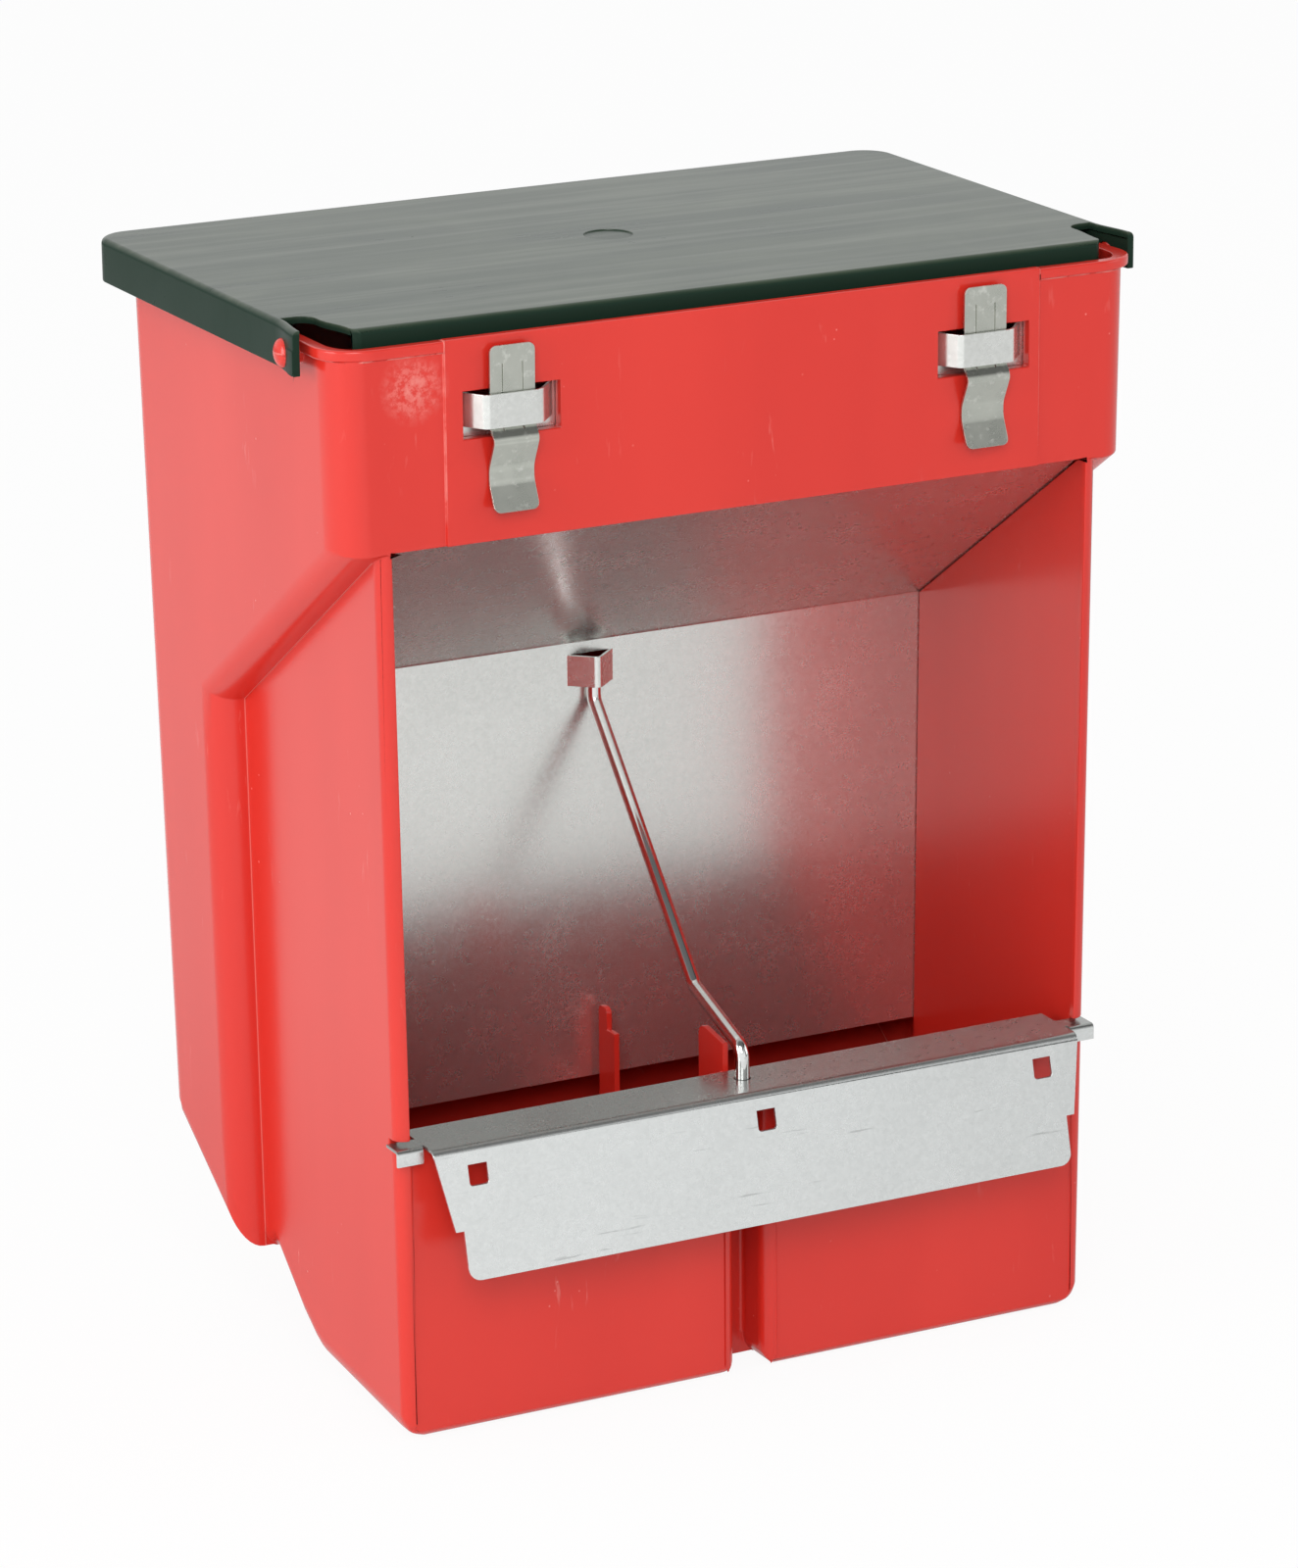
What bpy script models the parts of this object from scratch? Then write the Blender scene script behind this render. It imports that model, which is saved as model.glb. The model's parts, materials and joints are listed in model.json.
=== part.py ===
"""Rabbit feeder: moulded hopper, lid, bent steel baffle, trough guard, divider rod and two cage clips.

Metres, +Z up, +Y to the back. The design frame has x = 0 on the middle plane, y = 0 on the plane of the
mouth's front corner strips and z = 0 on the trough's flat bottom. The whole feeder hangs under one empty,
which moves that frame so that the overall box is centred on the origin.
"""

import math

import bmesh
import bpy
from mathutils import Matrix, Vector

for leftover in list(bpy.data.objects):
    bpy.data.objects.remove(leftover, do_unlink=True)

# Hopper and trough, one moulding
WALL = 0.0025
TOUCH_GAP = 0.0003
RIM_HEIGHT = 0.3114
HOPPER_HALF_WIDTH = 0.1230
HOPPER_DEPTH = 0.1433
HOPPER_DRAFT = 0.0154
SHOULDER_WIDTH = 0.0114
TROUGH_HALF_WIDTH = HOPPER_HALF_WIDTH - SHOULDER_WIDTH
TROUGH_DRAFT = 0.0105
APRON_HEIGHT = 0.0564
APRON_BOTTOM = RIM_HEIGHT - APRON_HEIGHT
SHELF_ANGLE = math.radians(34.0)
STEP_DEPTH = 0.0926
FLOOR_FLAT_DEPTH = 0.0520
FRONT_WALL_TOP = 0.0864
HOPPER_CORNER_RADIUS = 0.012
HOPPER_BOTTOM_RADIUS = 0.008
STEP_EDGE_RADIUS = 0.006
TROUGH_CORNER_RADIUS = 0.0035
TROUGH_BOTTOM_RADIUS = 0.008
TROUGH_TOE_RADIUS = 0.005

# Rim lip and the raised middle of the apron
LIP_PROUD = 0.0008
LIP_HEIGHT = 0.0030
PANEL_PROUD = 0.0009
PANEL_HALF_WIDTH = 0.0915

# Mouth opening
STRIP_WIDTH = 0.0041
TAB_SLOT_HEIGHT = 0.0025
MOUTH_TOP = APRON_BOTTOM + TOUCH_GAP
MOUTH_HALF_WIDTH = TROUGH_HALF_WIDTH - STRIP_WIDTH
STRIP_BOTTOM = FRONT_WALL_TOP + TAB_SLOT_HEIGHT

# Trough divider and its front groove
GROOVE_WIDTH = 0.0080
GROOVE_DEPTH = 0.0140
GROOVE_LIP_RADIUS = 0.0025
GROOVE_EDGE_RADIUS = 0.0010
DIVIDER_THICKNESS = 0.0018
DIVIDER_TOP = 0.0560
DIVIDER_FILLET = 0.0025
REAR_FIN_TOP = 0.0834
REAR_FIN_SETBACK = 0.0024
REAR_FIN_TOP_DEPTH = 0.0055
REAR_FIN_SHOULDER = 0.0768
REAR_FIN_FOOT_DEPTH = 0.0102
REAR_FIN_CROWN = 0.0020
FRONT_FIN_TOP = 0.0972
FRONT_FIN_SLOPE = 0.0025
FRONT_FIN_BACK = 0.0300
FRONT_FIN_RADIUS = 0.0040

# Hinge pins, moulded on the hopper's sides
PIN_Y = 0.0220
PIN_DROP = 0.0034
PIN_Z = RIM_HEIGHT - PIN_DROP
PIN_RADIUS = 0.0030
PIN_HEAD_RADIUS = 0.0041
PIN_HEAD_THICKNESS = 0.0024
PIN_HEAD_TOP_RADIUS = 0.0029
PIN_CLEARANCE = 0.0003

# Lid
LID_THICKNESS = 0.0020
LID_SIDE_CLEARANCE = 0.0017
LID_BACK_CLEARANCE = 0.0091
LID_HEADROOM = 0.0024
LID_FRONT = 0.0058
LID_WIDTH = 2 * (HOPPER_HALF_WIDTH + LIP_PROUD + LID_SIDE_CLEARANCE + LID_THICKNESS)
LID_BACK = HOPPER_DEPTH + LIP_PROUD + LID_BACK_CLEARANCE + LID_THICKNESS
LID_TOP = RIM_HEIGHT + LID_HEADROOM + LID_THICKNESS
LID_SKIRT_DEPTH = 0.0123
LID_FRONT_SKIRT_DEPTH = 0.0063
LID_EAR_REACH = 0.0100
LID_EAR_FRONT = PIN_Y - LID_EAR_REACH
LID_CORNER_RADIUS = 0.0100
LID_EDGE_RADIUS = 0.0012
NOTCH_WIDTH = 0.0118
NOTCH_REACH = 0.0065
NOTCH_BACK = PIN_Y + NOTCH_REACH
NOTCH_SHOULDER_WIDTH = 0.0033
NOTCH_SHOULDER_DEPTH = 0.0080
NOTCH_RADIUS = 0.0025
LID_RIB_THICKNESS = 0.0016

# Baffle sheet and the parts lanced from it
SHEET = 0.0009
BAFFLE_TOP_DROP = 0.0104
BAFFLE_OVERLAP = 0.0029
BAFFLE_TOP_INSET = 0.0030
BAFFLE_CORNER_DROP = 0.0047
BAFFLE_TOP = RIM_HEIGHT - BAFFLE_TOP_DROP
BAFFLE_BOTTOM = 0.0604
BAFFLE_HALF_WIDTH = TROUGH_HALF_WIDTH - WALL + BAFFLE_OVERLAP
BAFFLE_TOP_HALF_WIDTH = BAFFLE_HALF_WIDTH - BAFFLE_TOP_INSET
BAFFLE_CORNER_BOTTOM = APRON_BOTTOM - BAFFLE_CORNER_DROP
BAFFLE_BEND_RADIUS = 0.0012
CLIP_OFFSET = 0.0727
WINDOW_WIDTH = 0.0266
WINDOW_TOP_DROP = 0.0142
WINDOW_HEIGHT = 0.0131
WINDOW_TOP = RIM_HEIGHT - WINDOW_TOP_DROP
WINDOW_BOTTOM = WINDOW_TOP - WINDOW_HEIGHT
BRIDGE_HEIGHT = 0.0093
BRIDGE_CLEARANCE = 0.0009
BRIDGE_TOP = WINDOW_TOP - BRIDGE_CLEARANCE
BRIDGE_BOTTOM = BRIDGE_TOP - BRIDGE_HEIGHT
BRIDGE_WIDTH = 0.0246
BRIDGE_FACE_WIDTH = 0.0162
BRIDGE_BEND_RADIUS = 0.0018
LOOP_DROP = 0.0023
LOOP_HEIGHT = 0.0092
LOOP_HALF_WIDTH = 0.0076
LOOP_HALF_ANGLE = math.radians(42.0)
LOOP_BEND_RADIUS = 0.0020

# Cage clips
CLIP_WIDTH = 0.0134
CLIP_SHEET = 0.0008
CLIP_TOP_DROP = 0.0022
CLIP_TOP = RIM_HEIGHT - CLIP_TOP_DROP
CLIP_TOP_LEAN = 0.0002
CLIP_HUMP_DROP = 0.0034
CLIP_HUMP_PROUD = 0.0026
CLIP_WAIST_DROP = 0.0115
CLIP_WAIST_HEIGHT = 0.0040
CLIP_END_DROP = 0.0232
CLIP_END = BRIDGE_BOTTOM - CLIP_END_DROP
CLIP_END_PROUD = 0.0034
CLIP_TONGUE_RADIUS = 0.0100
CLIP_HUMP_RADIUS = 0.0040
CLIP_WAIST_RADIUS = 0.0060
CLIP_CORNER_RADIUS = 0.0020
CLIP_RIB_WIDTH = 0.0062
CLIP_RIB_HEIGHT = 0.0006
CLIP_RIB_CLEARANCE = 0.0009
CLIP_RIB_LENGTH = 0.0080
CLIP_RIB_TOP_DROP = 0.0040

# Trough guard
GUARD_SHEET = 0.0009
GUARD_END_INSET = 0.0092
GUARD_HALF_WIDTH = TROUGH_HALF_WIDTH - GUARD_END_INSET
GUARD_BACK = 0.0123
GUARD_FRONT = -0.0072
GUARD_FLANGE_DROP = 0.0358
GUARD_FLANGE_ANGLE = math.radians(13.6)
GUARD_BEND_RADIUS = 0.0018
GUARD_SHOULDER_DROP = 0.0212
GUARD_SHOULDER_HEIGHT = FRONT_WALL_TOP - GUARD_SHOULDER_DROP
GUARD_SHOULDER_INSET = 0.0039
GUARD_SHOULDER_HALF_WIDTH = GUARD_HALF_WIDTH - GUARD_SHOULDER_INSET
GUARD_LOWER_INSET = 0.0064
GUARD_LOWER_HALF_WIDTH = GUARD_HALF_WIDTH - GUARD_LOWER_INSET
GUARD_CORNER_RADIUS = 0.0035
TAB_END_INSET = 0.0006
TAB_LIP_GAP = 0.0007
TAB_HALF_SPAN = TROUGH_HALF_WIDTH - TAB_END_INSET
TAB_LIP_HALF_SPAN = GUARD_HALF_WIDTH + TAB_LIP_GAP
TAB_BACK = 0.0046
TAB_FRONT = -0.0024
TAB_LIP_DROP = 0.0042
SQUARE_HOLE = 0.0058
SQUARE_HOLE_INSET = 0.0126
SQUARE_HOLE_DROP = 0.0067
SQUARE_HOLE_OFFSET = GUARD_HALF_WIDTH - SQUARE_HOLE_INSET
SQUARE_HOLE_HEIGHT = FRONT_WALL_TOP - SQUARE_HOLE_DROP

# Divider rod
ROD_RADIUS = 0.0020
ROD_CLEARANCE = 0.0004
ROD_FOOT_Y = 0.0051
ROD_FOOT_DEPTH = 0.0022
ROD_LOWER_BEND_RISE = 0.0101
ROD_MIDDLE_BEND_Y = 0.0326
ROD_MIDDLE_BEND_RISE = 0.0207
ROD_UPPER_BEND_DROP = 0.0050
ROD_TOP_DROP = 0.0027
ROD_BEND_RADIUS = 0.0060
ROD_BEVEL_RESOLUTION = 2

# How deep a joined solid starts inside its neighbour, and how far a cutter passes through
ROOT = WALL / 2
OVERSHOOT = 0.004

# Facets of round shapes, welding, and the angles that tell flat from bent and smooth from sharp
CORNER_SEGMENTS = 5
LID_EDGE_SEGMENTS = 2
ROUND_SIDES = 24
MERGE_DISTANCE = 0.00001
FLAT_ANGLE = 0.001
SHARP_ANGLE = math.radians(35.0)

# The least part of an edge's direction that makes it run along an axis, in spite of the draft
ALONG_AXIS = 0.9

# Names of the object and of its two collections
OBJECT_NAME = "rabbit_feeder"
part_collection = bpy.data.collections.new(OBJECT_NAME)
cutter_collection = bpy.data.collections.new(OBJECT_NAME + "_cutters")
bpy.context.scene.collection.children.link(part_collection)
bpy.context.scene.collection.children.link(cutter_collection)

# Each plane maps a drawing's across, up and thickness directions to the feeder's axes.
SIDE_VIEW = Matrix(((0, 0, 1), (1, 0, 0), (0, 1, 0))).to_4x4()
FRONT_VIEW = Matrix(((1, 0, 0), (0, 0, -1), (0, 1, 0))).to_4x4()
TOP_VIEW = Matrix.Identity(4)


def shelf_height(y, start, height):
    """Height at y of a surface that falls to the back at the shelf angle from the point (start, height)."""
    return height - math.tan(SHELF_ANGLE) * (y - start)


def floor_height(y):
    """Height at y of the underside of the floor that rises to the back."""
    return math.tan(SHELF_ANGLE) * (y - FLOOR_FLAT_DEPTH)


def offset_path(points, distance):
    """The path moved to its left by a distance, with its corners kept sharp and its ends square."""
    lines = []
    for start, end in zip(points, points[1:]):
        along = (Vector(end) - Vector(start)).normalized()
        across = Vector((-along.y, along.x)) * distance
        lines.append((Vector(start) + across, along))
    moved = [lines[0][0]]
    for (first, first_along), (second, second_along) in zip(lines, lines[1:]):
        turn = first_along.x * second_along.y - first_along.y * second_along.x
        gap = second - first
        reach = (gap.x * second_along.y - gap.y * second_along.x) / turn
        moved.append(first + first_along * reach)
    moved.append(Vector(points[-1]) + lines[-1][0] - Vector(points[-2]))
    return [tuple(point) for point in moved]


def offset_outline(points, distance):
    """A closed outline moved to its left by a distance at every side."""
    around = [points[-1]] + list(points) + [points[0]]
    return offset_path(around, distance)[1:-1]


def rounded(points, radii, steps, closed=True):
    """The points with an arc of its radius in place of each corner whose radius is not 0."""
    result = []
    count = len(points)
    for index, (point, radius) in enumerate(zip(points, radii)):
        here = Vector(point)
        at_end = not closed and index in (0, count - 1)
        if radius == 0 or at_end:
            result.append(tuple(here))
            continue
        to_last = (Vector(points[index - 1]) - here).normalized()
        to_next = (Vector(points[(index + 1) % count]) - here).normalized()
        half_angle = to_last.angle(to_next) / 2
        centre = here + (to_last + to_next).normalized() * (radius / math.sin(half_angle))
        start = here + to_last * (radius / math.tan(half_angle)) - centre
        end = here + to_next * (radius / math.tan(half_angle)) - centre
        for step in range(steps + 1):
            blend = step / steps
            sweep = start.angle(end)
            weight_start = math.sin((1 - blend) * sweep) / math.sin(sweep)
            weight_end = math.sin(blend * sweep) / math.sin(sweep)
            result.append(tuple(centre + start * weight_start + end * weight_end))
    return result


def add_object(name, mesh, collection=None):
    """An object for a mesh, in the cutter collection unless another is given."""
    item = bpy.data.objects.new(name, mesh)
    (collection or cutter_collection).objects.link(item)
    if collection is None:
        item.hide_render = True
        item.display_type = "WIRE"
    return item


def plate(name, outline, low, high, view, collection=None):
    """A flat outline, drawn in a view, with its thickness from low to high along the view's third axis."""
    curve = bpy.data.curves.new(name, "CURVE")
    curve.dimensions = "2D"
    curve.fill_mode = "BOTH"
    curve.extrude = (high - low) / 2
    spline = curve.splines.new("POLY")
    spline.points.add(len(outline) - 1)
    for point, (across, up) in zip(spline.points, outline):
        point.co = (across, up, 0, 1)
    spline.use_cyclic_u = True
    drawing = add_object(name, curve)
    bpy.context.view_layer.update()
    evaluated = drawing.evaluated_get(bpy.context.evaluated_depsgraph_get())
    mesh = bpy.data.meshes.new_from_object(evaluated)
    bpy.data.objects.remove(drawing)
    mesh.transform(view @ Matrix.Translation((0, 0, (high + low) / 2)))
    body = bmesh.new()
    body.from_mesh(mesh)
    bmesh.ops.remove_doubles(body, verts=body.verts, dist=MERGE_DISTANCE)
    bmesh.ops.dissolve_limit(body, angle_limit=FLAT_ANGLE, verts=body.verts, edges=body.edges)
    bmesh.ops.recalc_face_normals(body, faces=body.faces)
    body.to_mesh(mesh)
    body.free()
    return add_object(name, mesh, collection)


def bent_sheet(name, path, thickness, low, high, view, collection=None):
    """A strip whose middle surface follows a path in a view, solidified to its sheet thickness."""
    body = bmesh.new()
    corners = [body.verts.new((across, up, low)) for across, up in path]
    edges = [body.edges.new(pair) for pair in zip(corners, corners[1:])]
    swept = bmesh.ops.extrude_edge_only(body, edges=edges)["geom"]
    moved = [item for item in swept if isinstance(item, bmesh.types.BMVert)]
    bmesh.ops.translate(body, verts=moved, vec=(0, 0, high - low))
    bmesh.ops.recalc_face_normals(body, faces=body.faces)
    mesh = bpy.data.meshes.new(name)
    body.to_mesh(mesh)
    body.free()
    mesh.transform(view)
    item = add_object(name, mesh, collection)
    solidify = item.modifiers.new("sheet_thickness", "SOLIDIFY")
    solidify.thickness = thickness
    solidify.offset = 0
    solidify.use_even_offset = True
    return item


def box(name, low, high):
    """A cutter box between two corners."""
    body = bmesh.new()
    bmesh.ops.create_cube(body, size=1.0)
    size = Vector(high) - Vector(low)
    middle = (Vector(high) + Vector(low)) / 2
    bmesh.ops.scale(body, verts=body.verts, vec=size)
    bmesh.ops.translate(body, verts=body.verts, vec=middle)
    mesh = bpy.data.meshes.new(name)
    body.to_mesh(mesh)
    body.free()
    return add_object(name, mesh)


def cylinder(name, radius, end_radius, start, end, sides):
    """A cylinder or cone frustum from a start point to an end point."""
    axis = Vector(end) - Vector(start)
    body = bmesh.new()
    bmesh.ops.create_cone(body, cap_ends=True, segments=sides, radius1=radius, radius2=end_radius,
                          depth=axis.length)
    turn = Vector((0, 0, 1)).rotation_difference(axis).to_matrix().to_4x4()
    middle = Matrix.Translation((Vector(start) + Vector(end)) / 2)
    bmesh.ops.transform(body, verts=body.verts, matrix=middle @ turn)
    mesh = bpy.data.meshes.new(name)
    body.to_mesh(mesh)
    body.free()
    return add_object(name, mesh)


def combine(item, operation, tool):
    """Adds an exact Boolean of the tool to an object."""
    boolean = item.modifiers.new(operation.lower() + "_" + tool.name, "BOOLEAN")
    boolean.operation = operation
    boolean.object = tool
    boolean.solver = "EXACT"


def join(item, tool):
    """Unites an object with a tool."""
    combine(item, "UNION", tool)


def cut(item, tool):
    """Takes a tool out of an object."""
    combine(item, "DIFFERENCE", tool)


def soften(item, radius_at, largest):
    """Rounds edges: radius_at gives an edge's radius from its middle point and its direction."""
    mesh = item.data
    weights = mesh.attributes.new("bevel_weight_edge", "FLOAT", "EDGE")
    for edge in mesh.edges:
        start, end = (mesh.vertices[index].co for index in edge.vertices)
        weights.data[edge.index].value = radius_at((start + end) / 2, (end - start).normalized()) / largest
    bevel = item.modifiers.new("rounded_edges", "BEVEL")
    bevel.limit_method = "WEIGHT"
    bevel.width = largest
    bevel.segments = CORNER_SEGMENTS
    bevel.use_clamp_overlap = False


def taper(item, draft, full_height):
    """Draws the sides in towards the bottom by the draft, from their full width at a height."""
    for vertex in item.data.vertices:
        inward = (full_height - vertex.co.z) * draft
        vertex.co.x -= math.copysign(inward, vertex.co.x)


def material(name, colour, roughness, metallic):
    """A plain finish with the piece's colour, roughness and metallic value."""
    finish = bpy.data.materials.new(name)
    finish.use_nodes = True
    shader = finish.node_tree.nodes["Principled BSDF"]
    shader.inputs["Base Color"].default_value = (*colour, 1)
    shader.inputs["Roughness"].default_value = roughness
    shader.inputs["Metallic"].default_value = metallic
    return finish


red_plastic = material("red_polypropylene", (0.62, 0.035, 0.022), 0.32, 0.0)
green_plastic = material("dark_green_polypropylene", (0.028, 0.045, 0.035), 0.38, 0.0)
galvanised = material("galvanised_sheet", (0.58, 0.60, 0.59), 0.42, 1.0)
spring_steel = material("zinc_plated_spring_steel", (0.40, 0.42, 0.40), 0.35, 1.0)
bright_wire = material("bright_steel_wire", (0.62, 0.64, 0.65), 0.15, 1.0)


# Shared side-view lines of the moulding, as (y, z)
STEP_BEND_HEIGHT = shelf_height(STEP_DEPTH, 0, APRON_BOTTOM)
STEP_FOOT_HEIGHT = floor_height(STEP_DEPTH)
LOOP_TOP = STEP_BEND_HEIGHT - LOOP_DROP
LOOP_BOTTOM = LOOP_TOP - LOOP_HEIGHT
REAR_FOOT_DEPTH = HOPPER_DEPTH - (RIM_HEIGHT - floor_height(HOPPER_DEPTH)) * HOPPER_DRAFT
REAR_FOOT_HEIGHT = floor_height(REAR_FOOT_DEPTH)
STEP_LINE = [
    (0, RIM_HEIGHT),
    (0, APRON_BOTTOM),
    (STEP_DEPTH, STEP_BEND_HEIGHT),
    (STEP_DEPTH, STEP_FOOT_HEIGHT),
]


def hopper_profile():
    """Side view of the wide hopper, anticlockwise from its front bottom corner."""
    return [
        (0, APRON_BOTTOM),
        (STEP_DEPTH, STEP_BEND_HEIGHT),
        (STEP_DEPTH, STEP_FOOT_HEIGHT),
        (REAR_FOOT_DEPTH, REAR_FOOT_HEIGHT),
        (HOPPER_DEPTH, RIM_HEIGHT),
        (0, RIM_HEIGHT),
    ]


def trough_profile(reach):
    """Side view of the narrow trough and mouth, whose back ends a reach inside the hopper."""
    back = STEP_DEPTH + reach
    return [
        (0, 0),
        (FLOOR_FLAT_DEPTH, 0),
        (STEP_DEPTH, STEP_FOOT_HEIGHT),
        (back, STEP_FOOT_HEIGHT + 2 * reach),
        (back, STEP_BEND_HEIGHT + reach),
        (reach, APRON_BOTTOM + reach),
        (0, APRON_BOTTOM),
    ]


def hopper_edge_radius(inset):
    """Radius of each edge of the wide hopper, less an inset on its hollow."""
    slanted = math.sin(SHELF_ANGLE) * ALONG_AXIS

    def radius(middle, direction):
        across = abs(direction.x) > ALONG_AXIS
        behind = middle.y > STEP_DEPTH + 2 * WALL
        if across:
            at_rear_foot = behind and middle.z < RIM_HEIGHT / 2
            return HOPPER_BOTTOM_RADIUS - inset if at_rear_foot else 0
        if abs(direction.z) > ALONG_AXIS and (behind or middle.y < 2 * WALL):
            return HOPPER_CORNER_RADIUS - inset
        if abs(direction.z) > ALONG_AXIS:
            return STEP_EDGE_RADIUS - inset
        if abs(direction.z) > slanted / 2:
            return HOPPER_BOTTOM_RADIUS - inset if direction.y * direction.z > 0 else STEP_EDGE_RADIUS - inset
        return 0

    return radius


def trough_edge_radius(inset):
    """Radius of each edge of the trough, less an inset on its hollow."""

    def radius(middle, direction):
        low = middle.z < STEP_FOOT_HEIGHT + WALL and middle.y < STEP_DEPTH + WALL
        if abs(direction.x) > ALONG_AXIS:
            return TROUGH_TOE_RADIUS - inset if low and middle.y < 2 * WALL else 0
        if abs(direction.z) > ALONG_AXIS:
            return max(TROUGH_CORNER_RADIUS - inset, WALL / 2) if middle.y < 2 * WALL else 0
        return TROUGH_BOTTOM_RADIUS - inset if low else 0

    return radius


def hopper_body():
    """The red moulding: hopper, mouth, trough, divider with its fins, rim lip and hinge pins."""
    body = plate("hopper_body", hopper_profile(), -HOPPER_HALF_WIDTH, HOPPER_HALF_WIDTH, SIDE_VIEW,
                 part_collection)
    taper(body, HOPPER_DRAFT, RIM_HEIGHT)
    soften(body, hopper_edge_radius(0), HOPPER_CORNER_RADIUS)

    trough = plate("trough_outside", trough_profile(2 * WALL), -TROUGH_HALF_WIDTH, TROUGH_HALF_WIDTH,
                   SIDE_VIEW)
    taper(trough, TROUGH_DRAFT, APRON_BOTTOM)
    soften(trough, trough_edge_radius(0), TROUGH_BOTTOM_RADIUS)
    join(body, trough)

    lip_side = HOPPER_HALF_WIDTH + LIP_PROUD
    lip_outline = rounded(
        [(-lip_side, -LIP_PROUD), (lip_side, -LIP_PROUD), (lip_side, HOPPER_DEPTH + LIP_PROUD),
         (-lip_side, HOPPER_DEPTH + LIP_PROUD)],
        [HOPPER_CORNER_RADIUS + LIP_PROUD] * 4, CORNER_SEGMENTS)
    join(body, plate("rim_lip", lip_outline, RIM_HEIGHT - LIP_HEIGHT, RIM_HEIGHT, TOP_VIEW))
    join(body, box("apron_panel", (-PANEL_HALF_WIDTH, -PANEL_PROUD, APRON_BOTTOM),
                   (PANEL_HALF_WIDTH, ROOT, RIM_HEIGHT + TOUCH_GAP)))

    inside = offset_outline(hopper_profile(), WALL)
    inside[-2:] = [(inside[-2][0], RIM_HEIGHT + OVERSHOOT), (inside[-1][0], RIM_HEIGHT + OVERSHOOT)]
    hollow_side = HOPPER_HALF_WIDTH - WALL
    hopper_hollow = plate("hopper_hollow", inside, -hollow_side, hollow_side, SIDE_VIEW)
    taper(hopper_hollow, HOPPER_DRAFT, RIM_HEIGHT)
    soften(hopper_hollow, hopper_edge_radius(WALL), HOPPER_CORNER_RADIUS)
    cut(body, hopper_hollow)

    trough_hollow_side = TROUGH_HALF_WIDTH - WALL
    floor = offset_path([(0, 0), (FLOOR_FLAT_DEPTH, 0), (REAR_FOOT_DEPTH, REAR_FOOT_HEIGHT)], WALL)
    back = STEP_DEPTH + ROOT
    back_floor = floor[1][1] + math.tan(SHELF_ANGLE) * (back - floor[1][0])
    trough_inside = [
        (WALL, WALL),
        floor[1],
        (back, back_floor),
        (back + OVERSHOOT, back_floor + OVERSHOOT + WALL),
        (back + OVERSHOOT, STEP_BEND_HEIGHT + 2 * OVERSHOOT),
        (WALL + 2 * OVERSHOOT, APRON_BOTTOM + 2 * OVERSHOOT),
        (WALL, APRON_BOTTOM + ROOT),
    ]
    trough_hollow = plate("trough_hollow", trough_inside, -trough_hollow_side, trough_hollow_side, SIDE_VIEW)
    taper(trough_hollow, TROUGH_DRAFT, APRON_BOTTOM)
    soften(trough_hollow, trough_edge_radius(WALL), TROUGH_BOTTOM_RADIUS)
    cut(body, trough_hollow)

    cut(body, box("mouth", (-MOUTH_HALF_WIDTH, -OVERSHOOT, FRONT_WALL_TOP),
                  (MOUTH_HALF_WIDTH, WALL + ROOT, MOUTH_TOP)))
    for side in (-1, 1):
        low, high = sorted((side * TAB_LIP_HALF_SPAN, side * (TROUGH_HALF_WIDTH + OVERSHOOT)))
        cut(body, box(f"tab_slot_{side}", (low, -OVERSHOOT, FRONT_WALL_TOP),
                      (high, TAB_BACK + 2 * TOUCH_GAP, STRIP_BOTTOM)))
        middle = side * CLIP_OFFSET
        cut(body, box(f"window_{side}", (middle - WINDOW_WIDTH / 2, -OVERSHOOT, WINDOW_BOTTOM),
                      (middle + WINDOW_WIDTH / 2, WALL + ROOT, WINDOW_TOP)))

    add_divider(body)
    add_hinge_pins(body)
    return body


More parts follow.
